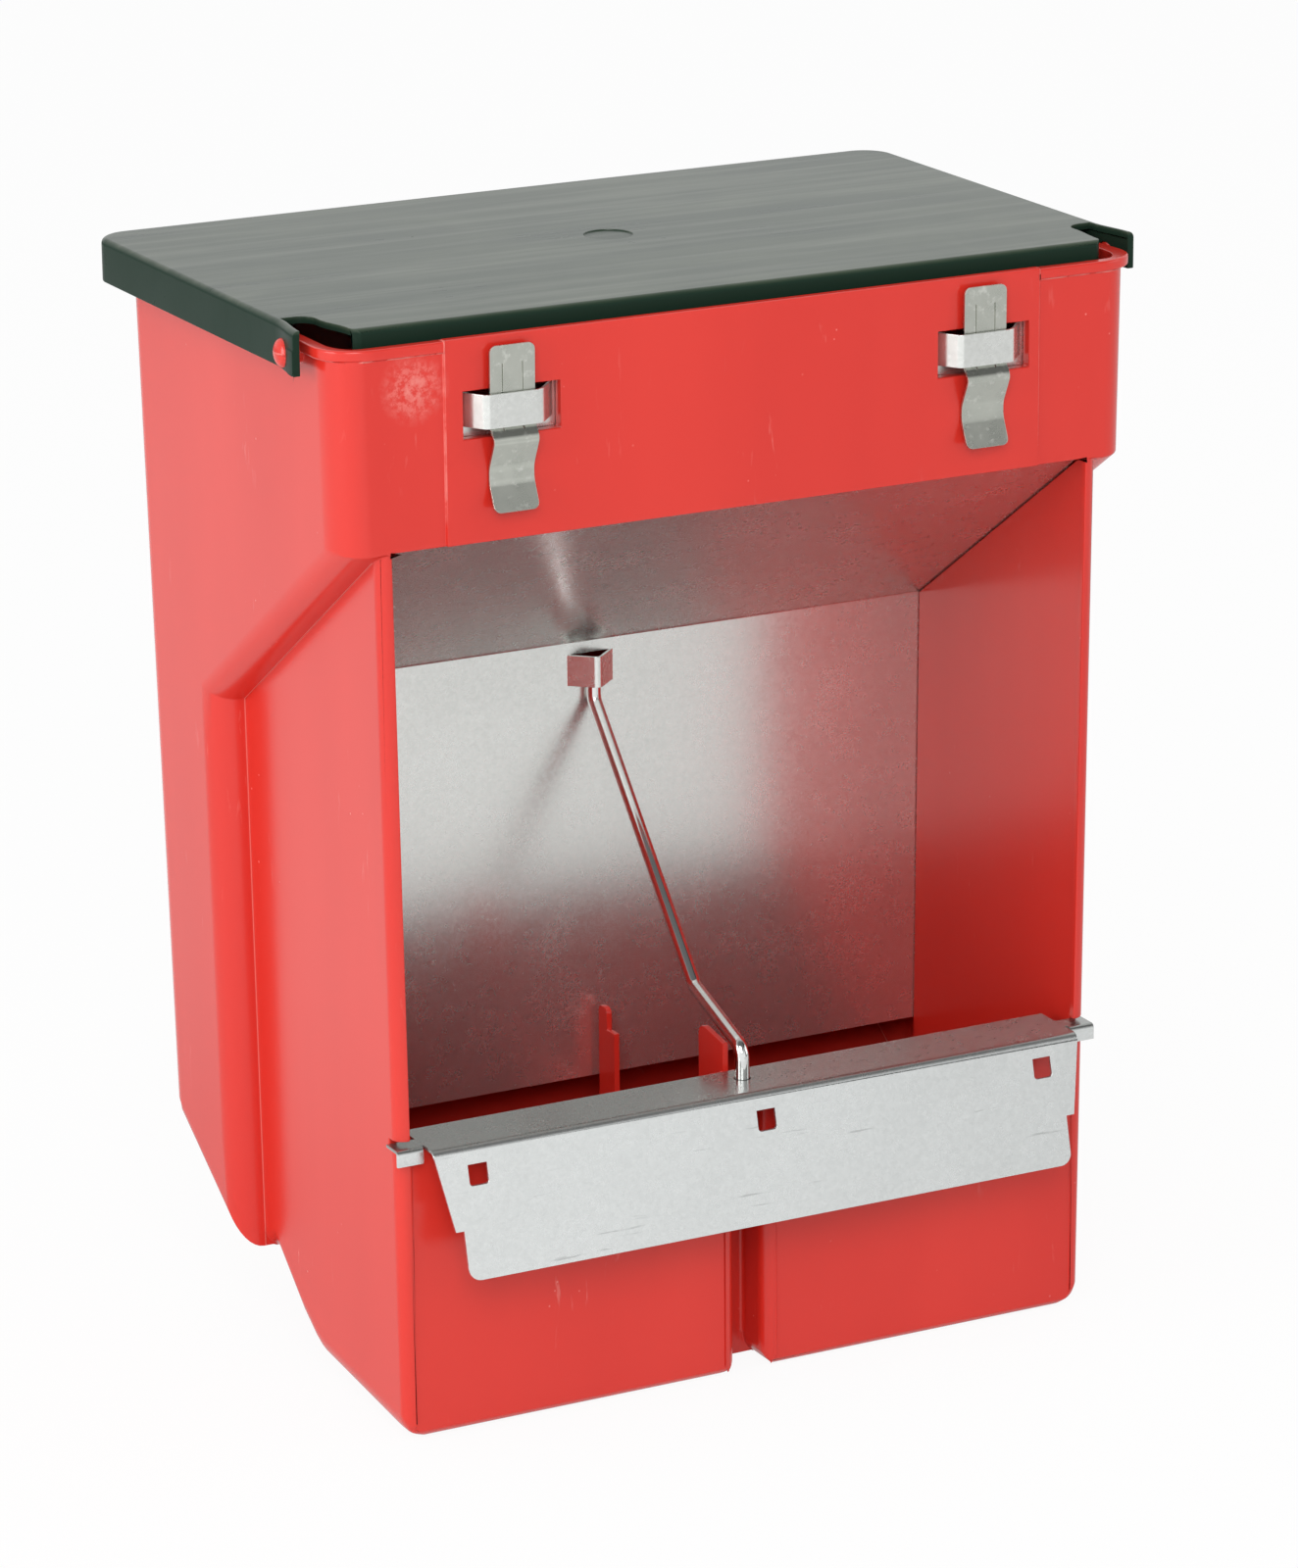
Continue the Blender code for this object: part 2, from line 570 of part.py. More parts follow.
def add_divider(body):
    """The wall that splits the trough in two, with a fin at each end and a groove in the front wall."""
    casing_side = GROOVE_WIDTH / 2 + WALL
    casing_back = GROOVE_DEPTH + WALL
    casing = rounded(
        [(-casing_side, ROOT), (casing_side, ROOT), (casing_side, casing_back), (-casing_side, casing_back)],
        [0, 0, WALL, WALL], CORNER_SEGMENTS)
    join(body, plate("groove_casing", casing, ROOT, FRONT_WALL_TOP - TOUCH_GAP, TOP_VIEW))

    fin_back = STEP_DEPTH + WALL + TOUCH_GAP - REAR_FIN_SETBACK
    fin_front = fin_back - REAR_FIN_TOP_DEPTH
    fin_foot = fin_back - REAR_FIN_FOOT_DEPTH
    front_fin_face = GROOVE_DEPTH + ROOT
    outline = rounded(
        [
            (front_fin_face, ROOT),
            (FLOOR_FLAT_DEPTH, ROOT),
            (fin_back, floor_height(fin_back) + ROOT),
            (fin_back, REAR_FIN_TOP - REAR_FIN_CROWN),
            (fin_back - REAR_FIN_CROWN, REAR_FIN_TOP),
            (fin_front, REAR_FIN_TOP - REAR_FIN_CROWN),
            (fin_front, REAR_FIN_SHOULDER),
            (fin_foot, REAR_FIN_SHOULDER - ROOT),
            (fin_foot, DIVIDER_TOP),
            (FRONT_FIN_BACK, DIVIDER_TOP),
            (FRONT_FIN_BACK, FRONT_FIN_TOP),
            (front_fin_face, FRONT_FIN_TOP - FRONT_FIN_SLOPE),
        ],
        [0, 0, 0, 0, REAR_FIN_CROWN / 2, 0, 0, DIVIDER_FILLET / 2, DIVIDER_FILLET, DIVIDER_FILLET,
         FRONT_FIN_RADIUS, 0],
        CORNER_SEGMENTS)
    join(body, plate("divider", outline, -DIVIDER_THICKNESS / 2, DIVIDER_THICKNESS / 2, SIDE_VIEW))

    mouth_side = GROOVE_WIDTH / 2 + GROOVE_LIP_RADIUS
    half = [
        (mouth_side, -OVERSHOOT),
        (mouth_side, 0),
        (GROOVE_WIDTH / 2, GROOVE_LIP_RADIUS),
        (GROOVE_WIDTH / 2, GROOVE_DEPTH),
    ]
    radii = [0, 0, GROOVE_EDGE_RADIUS, GROOVE_EDGE_RADIUS]
    mirrored = [(-across, up) for across, up in reversed(half)]
    groove = rounded(half + mirrored, radii + radii[::-1], CORNER_SEGMENTS)
    cut(body, plate("groove", groove, -OVERSHOOT, FRONT_WALL_TOP + OVERSHOOT, TOP_VIEW))


def add_hinge_pins(body):
    """The two lid pins on the hopper's sides, each with a head outside the lid's ear."""
    root = HOPPER_HALF_WIDTH - ROOT
    neck = LID_WIDTH / 2 + TOUCH_GAP
    for side in (-1, 1):
        join(body, cylinder(f"hinge_pin_{side}", PIN_RADIUS, PIN_RADIUS, (side * root, PIN_Y, PIN_Z),
                            (side * (neck + PIN_HEAD_THICKNESS / 2), PIN_Y, PIN_Z), ROUND_SIDES))
        head = cylinder(f"hinge_pin_head_{side}", PIN_HEAD_RADIUS, PIN_HEAD_TOP_RADIUS,
                        (side * neck, PIN_Y, PIN_Z), (side * (neck + PIN_HEAD_THICKNESS), PIN_Y, PIN_Z),
                        ROUND_SIDES)
        join(body, head)


def lid():
    """The dark green cover: a plate with a skirt, two ears that turn on the pins, and rim ribs below."""
    half_width = LID_WIDTH / 2
    outline = rounded(
        [(-half_width, LID_FRONT), (half_width, LID_FRONT), (half_width, LID_BACK), (-half_width, LID_BACK)],
        [0, 0, LID_CORNER_RADIUS, LID_CORNER_RADIUS], CORNER_SEGMENTS)
    skirt_bottom = LID_TOP - LID_SKIRT_DEPTH
    body = plate("lid", outline, skirt_bottom, LID_TOP, TOP_VIEW, part_collection)
    weights = body.data.attributes.new("bevel_weight_edge", "FLOAT", "EDGE")
    for line in body.data.edges:
        on_top = all(body.data.vertices[index].co.z > LID_TOP - LID_THICKNESS for index in line.vertices)
        weights.data[line.index].value = 1.0 if on_top else 0.0
    edge = body.modifiers.new("top_edge", "BEVEL")
    edge.limit_method = "WEIGHT"
    edge.width = LID_EDGE_RADIUS
    edge.segments = LID_EDGE_SEGMENTS

    inner_side = half_width - LID_THICKNESS
    hollow = rounded(
        [(-inner_side, LID_FRONT + LID_THICKNESS), (inner_side, LID_FRONT + LID_THICKNESS),
         (inner_side, LID_BACK - LID_THICKNESS), (-inner_side, LID_BACK - LID_THICKNESS)],
        [0, 0, LID_CORNER_RADIUS - LID_THICKNESS, LID_CORNER_RADIUS - LID_THICKNESS], CORNER_SEGMENTS)
    cut(body, plate("lid_hollow", hollow, skirt_bottom - OVERSHOOT, LID_TOP - LID_THICKNESS, TOP_VIEW))
    cut(body, box("front_skirt_edge", (-half_width - OVERSHOOT, -OVERSHOOT, skirt_bottom - OVERSHOOT),
                  (half_width + OVERSHOOT, LID_FRONT + LID_THICKNESS + TOUCH_GAP,
                   LID_TOP - LID_FRONT_SKIRT_DEPTH)))
    for side in (-1, 1):
        notch_side = half_width - NOTCH_WIDTH
        ear_side = inner_side - TOUCH_GAP
        notch = rounded(
            [
                (side * notch_side, -OVERSHOOT),
                (side * (half_width + OVERSHOOT), -OVERSHOOT),
                (side * (half_width + OVERSHOOT), LID_EAR_FRONT),
                (side * ear_side, LID_EAR_FRONT),
                (side * ear_side, NOTCH_BACK),
                (side * (notch_side + NOTCH_SHOULDER_WIDTH), NOTCH_BACK),
                (side * notch_side, NOTCH_BACK - NOTCH_SHOULDER_DEPTH),
            ],
            [0, 0, 0, 0, NOTCH_RADIUS / 2, NOTCH_RADIUS, NOTCH_RADIUS], CORNER_SEGMENTS)
        cut(body, plate(f"lid_notch_{side}", notch, skirt_bottom - OVERSHOOT, LID_TOP + OVERSHOOT, TOP_VIEW))
        hole = PIN_RADIUS + PIN_CLEARANCE
        cut(body, cylinder(f"pin_hole_{side}", hole, hole, (side * (inner_side - OVERSHOOT), PIN_Y, PIN_Z),
                           (side * (half_width + OVERSHOOT), PIN_Y, PIN_Z), ROUND_SIDES))

    rib_side = HOPPER_HALF_WIDTH - (WALL - LID_RIB_THICKNESS) / 2
    rib_back = HOPPER_DEPTH - (WALL - LID_RIB_THICKNESS) / 2
    rib_low = RIM_HEIGHT + TOUCH_GAP
    rib_high = LID_TOP - LID_THICKNESS / 2
    for side in (-1, 1):
        low, high = sorted((side * rib_side, side * (rib_side - LID_RIB_THICKNESS)))
        join(body, box(f"rim_rib_{side}", (low, NOTCH_BACK + LID_THICKNESS, rib_low),
                       (high, rib_back - HOPPER_CORNER_RADIUS, rib_high)))
    join(body, box("rear_rim_rib", (-rib_side + HOPPER_CORNER_RADIUS, rib_back - LID_RIB_THICKNESS, rib_low),
                   (rib_side - HOPPER_CORNER_RADIUS, rib_back, rib_high)))
    return body


def baffle_line(clearance):
    """Side view of the baffle's middle surface, a clearance off the moulding's step, with rounded bends."""
    line = offset_path(STEP_LINE, WALL + clearance + SHEET / 2)
    line[0] = (line[0][0], BAFFLE_TOP)
    line[-1] = (line[-1][0], BAFFLE_BOTTOM)
    return rounded(line, [0, BAFFLE_BEND_RADIUS, BAFFLE_BEND_RADIUS, 0], CORNER_SEGMENTS, closed=False)


def baffle():
    """The galvanised sheet behind the mouth, with two clip bridges and the rod's loop lanced from it."""
    line = baffle_line(TOUCH_GAP)
    sheet = bent_sheet("baffle", line, SHEET, -BAFFLE_HALF_WIDTH, BAFFLE_HALF_WIDTH, SIDE_VIEW,
                       part_collection)
    for side in (-1, 1):
        low, high = sorted((side * BAFFLE_TOP_HALF_WIDTH, side * (BAFFLE_HALF_WIDTH + OVERSHOOT)))
        cut(sheet, box(f"baffle_corner_{side}", (low, -OVERSHOOT, BAFFLE_CORNER_BOTTOM),
                       (high, STEP_DEPTH / 2, BAFFLE_TOP + OVERSHOOT)))
        add_bridge(sheet, side, line[0][0])
    add_loop(sheet, line[-1][0])
    return sheet


def add_bridge(sheet, side, plate_y):
    """A strap that stands out through an apron window and holds a cage clip."""
    middle = side * CLIP_OFFSET
    face_y = clip_middle_y() - CLIP_SHEET / 2 - TOUCH_GAP - SHEET / 2
    half, face_half = BRIDGE_WIDTH / 2, BRIDGE_FACE_WIDTH / 2
    slot = (plate_y - SHEET, plate_y + SHEET)
    cut(sheet, box(f"bridge_slot_{side}", (middle - half + SHEET, slot[0], BRIDGE_BOTTOM),
                   (middle + half - SHEET, slot[1], BRIDGE_TOP)))
    path = rounded(
        [(middle - half, plate_y), (middle - face_half, face_y), (middle + face_half, face_y),
         (middle + half, plate_y)], [0, BRIDGE_BEND_RADIUS, BRIDGE_BEND_RADIUS, 0], CORNER_SEGMENTS,
        closed=False)
    join(sheet, bent_sheet(f"bridge_{side}", path, SHEET, BRIDGE_BOTTOM, BRIDGE_TOP, TOP_VIEW))


def add_loop(sheet, plate_y):
    """The pointed strap in the middle of the sheet that holds the rod's upper end."""
    cut(sheet, box("loop_slot", (-LOOP_HALF_WIDTH + SHEET, plate_y - SHEET, LOOP_BOTTOM),
                   (LOOP_HALF_WIDTH - SHEET, plate_y + SHEET, LOOP_TOP)))
    path = rounded([(-LOOP_HALF_WIDTH, plate_y), (0, loop_point()), (LOOP_HALF_WIDTH, plate_y)],
                   [0, LOOP_BEND_RADIUS, 0], CORNER_SEGMENTS, closed=False)
    join(sheet, bent_sheet("loop", path, SHEET, LOOP_BOTTOM, LOOP_TOP, TOP_VIEW))


def loop_point():
    """Where the middle lines of the loop's two legs meet, in front of the sheet."""
    sheet_y = STEP_DEPTH + WALL + TOUCH_GAP + SHEET / 2
    return sheet_y - LOOP_HALF_WIDTH / math.tan(LOOP_HALF_ANGLE)


def rod_top_y():
    """Where the rod's upper end stands, a clearance off both legs of the loop."""
    return loop_point() + (ROD_RADIUS + SHEET / 2 + TOUCH_GAP) / math.sin(LOOP_HALF_ANGLE)


def clip_middle_y():
    """Where the middle of a clip's tongue runs, with its rib a clearance off the apron."""
    return -PANEL_PROUD - CLIP_RIB_CLEARANCE - CLIP_RIB_HEIGHT - CLIP_SHEET / 2


def cage_clip(side):
    """A spring clip: a flat tongue behind its bridge, then an S that traps a cage wire on the apron."""
    tongue_y = clip_middle_y()
    waist_y = -PANEL_PROUD - TOUCH_GAP - CLIP_SHEET / 2
    path = rounded(
        [
            (tongue_y - CLIP_TOP_LEAN, CLIP_TOP),
            (tongue_y, BRIDGE_TOP),
            (tongue_y, BRIDGE_BOTTOM),
            (tongue_y - CLIP_HUMP_PROUD, BRIDGE_BOTTOM - CLIP_HUMP_DROP),
            (waist_y, BRIDGE_BOTTOM - CLIP_WAIST_DROP),
            (waist_y, BRIDGE_BOTTOM - CLIP_WAIST_DROP - CLIP_WAIST_HEIGHT),
            (waist_y - CLIP_END_PROUD, CLIP_END),
        ],
        [0, CLIP_TONGUE_RADIUS, CLIP_HUMP_RADIUS / 2, CLIP_HUMP_RADIUS / 2, CLIP_WAIST_RADIUS,
         CLIP_WAIST_RADIUS, 0],
        CORNER_SEGMENTS, closed=False)
    middle = side * CLIP_OFFSET
    name = "clip_right" if side > 0 else "clip_left"
    clip = bent_sheet(name, path, CLIP_SHEET, middle - CLIP_WIDTH / 2, middle + CLIP_WIDTH / 2, SIDE_VIEW,
                      part_collection)
    rib_back = tongue_y + CLIP_SHEET / 2 + CLIP_RIB_HEIGHT
    rib_top = CLIP_TOP - CLIP_RIB_TOP_DROP
    join(clip, box(f"clip_rib_{side}", (middle - CLIP_RIB_WIDTH / 2, tongue_y, rib_top - CLIP_RIB_LENGTH),
                   (middle + CLIP_RIB_WIDTH / 2, rib_back, rib_top)))
    for edge in (-1, 1):
        for end, inward in ((CLIP_TOP, -1), (CLIP_END, 1)):
            corner = corner_cutter(middle + edge * CLIP_WIDTH / 2, end, -edge, inward)
            cut(clip, plate(f"clip_corner_{side}_{edge}_{inward}", corner, -WALL, 5 * WALL, FRONT_VIEW))
    return clip


def corner_cutter(across, up, inward_across, inward_up):
    """The outline that takes the clip's corner off at a point, leaving a round of the corner radius."""
    reach = CLIP_CORNER_RADIUS
    centre = (across + inward_across * reach, up + inward_up * reach)
    arc = []
    for step in range(CORNER_SEGMENTS + 1):
        turn = math.pi / 2 * step / CORNER_SEGMENTS
        arc.append((centre[0] - inward_across * reach * math.sin(turn),
                    centre[1] - inward_up * reach * math.cos(turn)))
    outside = (across - inward_across * OVERSHOOT, up - inward_up * OVERSHOOT)
    return [(centre[0], outside[1])] + arc + [(outside[0], centre[1]), outside]


def trough_guard():
    """The galvanised angle over the trough's front edge, locked under the strips by a tab at each end."""
    middle_z = FRONT_WALL_TOP + TOUCH_GAP + GUARD_SHEET / 2
    flange_lean = GUARD_FLANGE_DROP * math.tan(GUARD_FLANGE_ANGLE)
    flange_foot = (GUARD_FRONT - flange_lean, middle_z - GUARD_FLANGE_DROP)
    path = rounded([(GUARD_BACK, middle_z), (GUARD_FRONT, middle_z), flange_foot], [0, GUARD_BEND_RADIUS, 0],
                   CORNER_SEGMENTS, closed=False)
    guard = bent_sheet("trough_guard", path, GUARD_SHEET, -GUARD_HALF_WIDTH, GUARD_HALF_WIDTH, SIDE_VIEW,
                       part_collection)
    bottom = flange_foot[1] - GUARD_SHEET
    beyond = GUARD_HALF_WIDTH + OVERSHOOT
    for side in (-1, 1):
        end = rounded(
            [
                (side * GUARD_HALF_WIDTH, middle_z - 2 * GUARD_SHEET - GUARD_BEND_RADIUS),
                (side * GUARD_SHOULDER_HALF_WIDTH, GUARD_SHOULDER_HEIGHT),
                (side * GUARD_LOWER_HALF_WIDTH, GUARD_SHOULDER_HEIGHT),
                (side * GUARD_LOWER_HALF_WIDTH, bottom + GUARD_SHEET),
                (side * (GUARD_LOWER_HALF_WIDTH - 2 * GUARD_CORNER_RADIUS), bottom),
                (side * beyond, bottom),
                (side * beyond, middle_z - 2 * GUARD_SHEET - GUARD_BEND_RADIUS),
            ],
            [0, 0, 0, GUARD_CORNER_RADIUS, 0, 0, 0], CORNER_SEGMENTS)
        cut(guard, plate(f"guard_end_{side}", end, 0, -2 * flange_foot[0], FRONT_VIEW))
        lip_foot = (TAB_FRONT, middle_z - TAB_LIP_DROP)
        tab_path = rounded([(TAB_BACK, middle_z), (TAB_FRONT, middle_z), lip_foot],
                           [0, GUARD_SHEET, 0], CORNER_SEGMENTS, closed=False)
        low, high = sorted((side * TAB_LIP_HALF_SPAN, side * TAB_HALF_SPAN))
        join(guard, bent_sheet(f"guard_tab_{side}", tab_path, GUARD_SHEET, low, high, SIDE_VIEW))
        low, high = sorted((side * (GUARD_HALF_WIDTH - ROOT), side * (TAB_LIP_HALF_SPAN + ROOT)))
        neck_front = TAB_FRONT + 2 * GUARD_SHEET
        join(guard, box(f"guard_tab_neck_{side}", (low, neck_front, middle_z - GUARD_SHEET / 2),
                        (high, TAB_BACK, middle_z + GUARD_SHEET / 2)))
    for place in (-SQUARE_HOLE_OFFSET, 0, SQUARE_HOLE_OFFSET):
        cut(guard, box(f"square_hole_{place}", (place - SQUARE_HOLE / 2, GUARD_FRONT - OVERSHOOT,
                                                SQUARE_HOLE_HEIGHT - SQUARE_HOLE / 2),
                       (place + SQUARE_HOLE / 2, GUARD_FRONT + OVERSHOOT / 2,
                        SQUARE_HOLE_HEIGHT + SQUARE_HOLE / 2)))
    hole = ROD_RADIUS + ROD_CLEARANCE
    cut(guard, cylinder("rod_hole", hole, hole, (0, ROD_FOOT_Y, middle_z - OVERSHOOT),
                        (0, ROD_FOOT_Y, middle_z + OVERSHOOT), ROUND_SIDES))
    return guard


def divider_rod():
    """The bent wire on the middle plane, from the baffle's loop down through the guard."""
    route = rounded(
        [
            (rod_top_y(), LOOP_TOP - ROD_TOP_DROP),
            (rod_top_y(), LOOP_BOTTOM - ROD_UPPER_BEND_DROP),
            (ROD_MIDDLE_BEND_Y, FRONT_WALL_TOP + ROD_MIDDLE_BEND_RISE),
            (ROD_FOOT_Y, FRONT_WALL_TOP + ROD_LOWER_BEND_RISE),
            (ROD_FOOT_Y, FRONT_WALL_TOP - ROD_FOOT_DEPTH),
        ],
        [0, ROD_BEND_RADIUS, ROD_BEND_RADIUS, ROD_BEND_RADIUS, 0], CORNER_SEGMENTS, closed=False)
    wire = bpy.data.curves.new("divider_rod", "CURVE")
    wire.dimensions = "3D"
    wire.bevel_depth = ROD_RADIUS
    wire.bevel_resolution = ROD_BEVEL_RESOLUTION
    wire.use_fill_caps = True
    spline = wire.splines.new("POLY")
    spline.points.add(len(route) - 1)
    for point, (y, z) in zip(spline.points, route):
        point.co = (0, y, z, 1)
    rod = bpy.data.objects.new("divider_rod", wire)
    part_collection.objects.link(rod)
    return rod


def smooth(item, finish):
    """Gives a piece its finish, and smooth shading up to its sharp edges."""
    item.data.materials.clear()
    item.data.materials.append(finish)
    if item.type == "MESH":
        item.data.shade_smooth()
        item.data.set_sharp_from_angle(angle=SHARP_ANGLE)


def put_origin(item, point):
    """Moves a piece's origin to a point on its joint's axis, with its shape left where it is."""
    item.data.transform(Matrix.Translation(-Vector(point)))
    item.location = point


pieces = {
    "hopper_body": (hopper_body(), red_plastic),
    "lid": (lid(), green_plastic),
    "baffle": (baffle(), galvanised),
    "trough_guard": (trough_guard(), galvanised),
    "divider_rod": (divider_rod(), bright_wire),
    "clip_left": (cage_clip(-1), spring_steel),
    "clip_right": (cage_clip(1), spring_steel),
}
joint_points = {
    "lid": (0, PIN_Y, PIN_Z),
    "divider_rod": (0, ROD_FOOT_Y, FRONT_WALL_TOP),
    "clip_left": (-CLIP_OFFSET, clip_middle_y(), BRIDGE_BOTTOM),
    "clip_right": (CLIP_OFFSET, clip_middle_y(), BRIDGE_BOTTOM),
}
for piece_name, point in joint_points.items():
    put_origin(pieces[piece_name][0], point)

# The empty centres the overall box, from the guard's lower edge in front to the lid's back edge.
guard_front = (GUARD_FRONT - GUARD_FLANGE_DROP * math.tan(GUARD_FLANGE_ANGLE)
               - GUARD_SHEET / 2 * math.cos(GUARD_FLANGE_ANGLE))
feeder = bpy.data.objects.new(OBJECT_NAME, None)
feeder.location = (0, -(LID_BACK + guard_front) / 2, 0)
part_collection.objects.link(feeder)
for piece, finish in pieces.values():
    smooth(piece, finish)
    piece.parent = feeder
for tool in cutter_collection.objects:
    tool.parent = feeder
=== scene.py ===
import json
import math

import bmesh
import bpy
from mathutils import Matrix, Vector


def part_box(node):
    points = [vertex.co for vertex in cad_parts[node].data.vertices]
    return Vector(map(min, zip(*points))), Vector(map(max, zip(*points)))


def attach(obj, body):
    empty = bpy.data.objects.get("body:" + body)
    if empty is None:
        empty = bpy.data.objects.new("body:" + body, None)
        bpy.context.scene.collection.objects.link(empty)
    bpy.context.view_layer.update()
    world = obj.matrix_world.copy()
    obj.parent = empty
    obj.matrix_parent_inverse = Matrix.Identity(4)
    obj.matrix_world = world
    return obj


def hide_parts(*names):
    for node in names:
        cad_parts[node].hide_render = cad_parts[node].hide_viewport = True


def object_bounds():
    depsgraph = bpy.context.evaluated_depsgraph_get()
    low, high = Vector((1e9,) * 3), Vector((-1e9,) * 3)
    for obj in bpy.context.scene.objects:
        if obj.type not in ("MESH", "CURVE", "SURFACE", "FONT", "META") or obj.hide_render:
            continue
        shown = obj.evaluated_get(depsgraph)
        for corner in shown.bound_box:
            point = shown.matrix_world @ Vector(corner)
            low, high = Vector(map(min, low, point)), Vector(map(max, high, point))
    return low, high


# A rabbit feeder: red moulded hopper and trough, dark green lid, bent galvanised sheets, a bright wire
# and two spring clips. Sizes are in millimetres. Places are (x, y, z): x = 0 is the middle plane, y = 0
# the front of the mouth's side strips, with y growing to the back, and z = 0 the trough's flat bottom.

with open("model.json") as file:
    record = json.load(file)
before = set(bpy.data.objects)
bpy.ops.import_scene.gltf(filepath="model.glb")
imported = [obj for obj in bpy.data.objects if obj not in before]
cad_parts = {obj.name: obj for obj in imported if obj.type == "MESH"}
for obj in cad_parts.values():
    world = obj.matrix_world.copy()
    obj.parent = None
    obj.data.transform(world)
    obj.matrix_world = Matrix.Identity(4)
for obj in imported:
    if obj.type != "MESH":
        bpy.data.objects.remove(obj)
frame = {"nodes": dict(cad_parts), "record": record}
cad_low, cad_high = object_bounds()

MM = 0.001
PANEL_PROUD = 0.9
PANEL_SIDE = 91.5
MOUTH_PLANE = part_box("hopper_body")[0].y + PANEL_PROUD * MM

# Moulding
WALL = 2.5
RIM = 311.4
HOPPER_SIDE = 123.0
HOPPER_BACK = 143.3
HOPPER_DRAFT = 0.0154
TROUGH_SIDE = 111.6
TROUGH_DRAFT = 0.0105
APRON_BOTTOM = 255.0
SHELF_SLOPE = math.tan(math.radians(34.0))
STEP = 92.6
FLOOR_FLAT = 52.0
FRONT_WALL_TOP = 86.4
MOUTH_SIDE = 107.5
STRIP_BOTTOM = 88.9
# Each bend of the trough's underside: its y and z, and the slope from there on.
UNDERSIDE = (
    (8.0, 0.0, 0.095), (56.0, 4.56, 0.25), (59.5, 5.43, 0.45), (63.0, 7.0, 0.66), (66.5, 9.3, 0.87))
UNDERSIDE_END = 86.3
DIVIDER_HALF = 0.9

# Sheets, clips, wire and lid
GAP = 0.3
SHEET = 0.9
CLIP_SHEET = 0.8
CLIP_OFFSET = 72.7
CLIP_HALF = 6.7
BRIDGE_LOW = 287.0
BRIDGE_HIGH = 296.3
LOOP_X = -1.2
LOOP_LOW = 181.04
LOOP_HIGH = 190.24
ROD_RADIUS = 2.1
ROD_FOOT_Y = 5.1
GUARD_TOP = 87.15
LID_SIDE = 127.5
LID_FRONT = 5.8
LID_BACK = 155.2
LID_TOP = 315.8
LID_WALL = 2.0
PIN_Y = 22.0
PIN_Z = 308.0
PIN_RADIUS = 3.0

# Off to one side of every piece, so that no two corners of a piece are equally far from it.
SORTING_PLACE = (0.3713, 0.2119, 0.5371)


def at(x, y, z):
    """The point of the feeder at (x, y, z), in metres in the frame's axes."""
    return Vector((x * MM, y * MM + MOUTH_PLANE, z * MM))


def sizes(point):
    """A point of the frame in millimetres from the middle of the mouth plane."""
    return Vector((point.x, point.y - MOUTH_PLANE, point.z)) / MM


# Modelling by hand


def take_primitive(name):
    """Names the primitive just added and puts its place into its mesh."""
    piece = bpy.context.object
    piece.name = name
    bpy.ops.object.transform_apply(location=True, rotation=True, scale=True)
    return piece


def block(name, low, high):
    """A cube between two corners."""
    low, high = at(*low), at(*high)
    bpy.ops.object.select_all(action="DESELECT")
    bpy.ops.mesh.primitive_cube_add(size=1, location=(low + high) / 2, scale=high - low)
    return take_primitive(name)


def side_block(name, side, across, along, up):
    """A cube on one side of the middle plane, between two distances from it."""
    low, high = sorted((side * across[0], side * across[1]))
    return block(name, (low, along[0], up[0]), (high, along[1], up[1]))


def round_bar(name, start, end, radius, sides=48):
    """A cylinder between two points."""
    start, end = at(*start), at(*end)
    axis = end - start
    bpy.ops.object.select_all(action="DESELECT")
    bpy.ops.mesh.primitive_cylinder_add(
        vertices=sides, radius=radius * MM, depth=axis.length, location=(start + end) / 2,
        rotation=axis.to_track_quat("Z", "Y").to_euler())
    return take_primitive(name)


def button(name, middle, radii):
    """A sphere pressed to three radii."""
    bpy.ops.object.select_all(action="DESELECT")
    bpy.ops.mesh.primitive_uv_sphere_add(segments=40, ring_count=20, radius=MM,
                                         location=at(*middle), scale=radii)
    return take_primitive(name)


def select(piece, kind, wanted):
    """In edit mode, selects the faces, edges or corners whose middle and direction pass a test."""
    bpy.ops.object.mode_set(mode="OBJECT")
    bpy.ops.object.select_all(action="DESELECT")
    piece.select_set(True)
    bpy.context.view_layer.objects.active = piece
    bpy.ops.object.mode_set(mode="EDIT")
    bpy.ops.mesh.select_mode(type=kind)
    bpy.ops.mesh.select_all(action="DESELECT")
    mesh = bmesh.from_edit_mesh(piece.data)
    for item in {"FACE": mesh.faces, "EDGE": mesh.edges, "VERT": mesh.verts}[kind]:
        if kind == "FACE":
            middle, direction = item.calc_center_median(), item.normal
        elif kind == "EDGE":
            ends = [corner.co for corner in item.verts]
            middle, direction = (ends[0] + ends[1]) / 2, (ends[1] - ends[0]).normalized()
        else:
            middle, direction = item.co, item.normal
        if wanted(sizes(middle), direction):
            item.select_set(True)
    bmesh.update_edit_mesh(piece.data)


def done():
    """Leaves edit mode."""
    bpy.ops.object.mode_set(mode="OBJECT")


def move(x=0, y=0, z=0):
    """Moves what is selected."""
    bpy.ops.transform.translate(value=Vector((x, y, z)) * MM)


def extrude(x=0, y=0, z=0):
    """Extrudes what is selected by a distance."""
    bpy.ops.mesh.extrude_region_move(TRANSFORM_OT_translate={"value": Vector((x, y, z)) * MM})


def extrude_edge(x=0, y=0, z=0):
    """Extrudes the selected border edges of a sheet by a distance."""
    bpy.ops.mesh.extrude_edges_move(TRANSFORM_OT_translate={"value": Vector((x, y, z)) * MM})


def bisect(piece, point, normal, where=lambda middle, direction: True, clear=True, fill=True):
    """Cuts the faces that pass a test along a plane, and takes away what lies beyond it."""
    select(piece, "FACE", where)
    bpy.ops.mesh.bisect(plane_co=at(*point), plane_no=normal, clear_outer=clear, use_fill=fill,
                        threshold=0.000001)
    done()


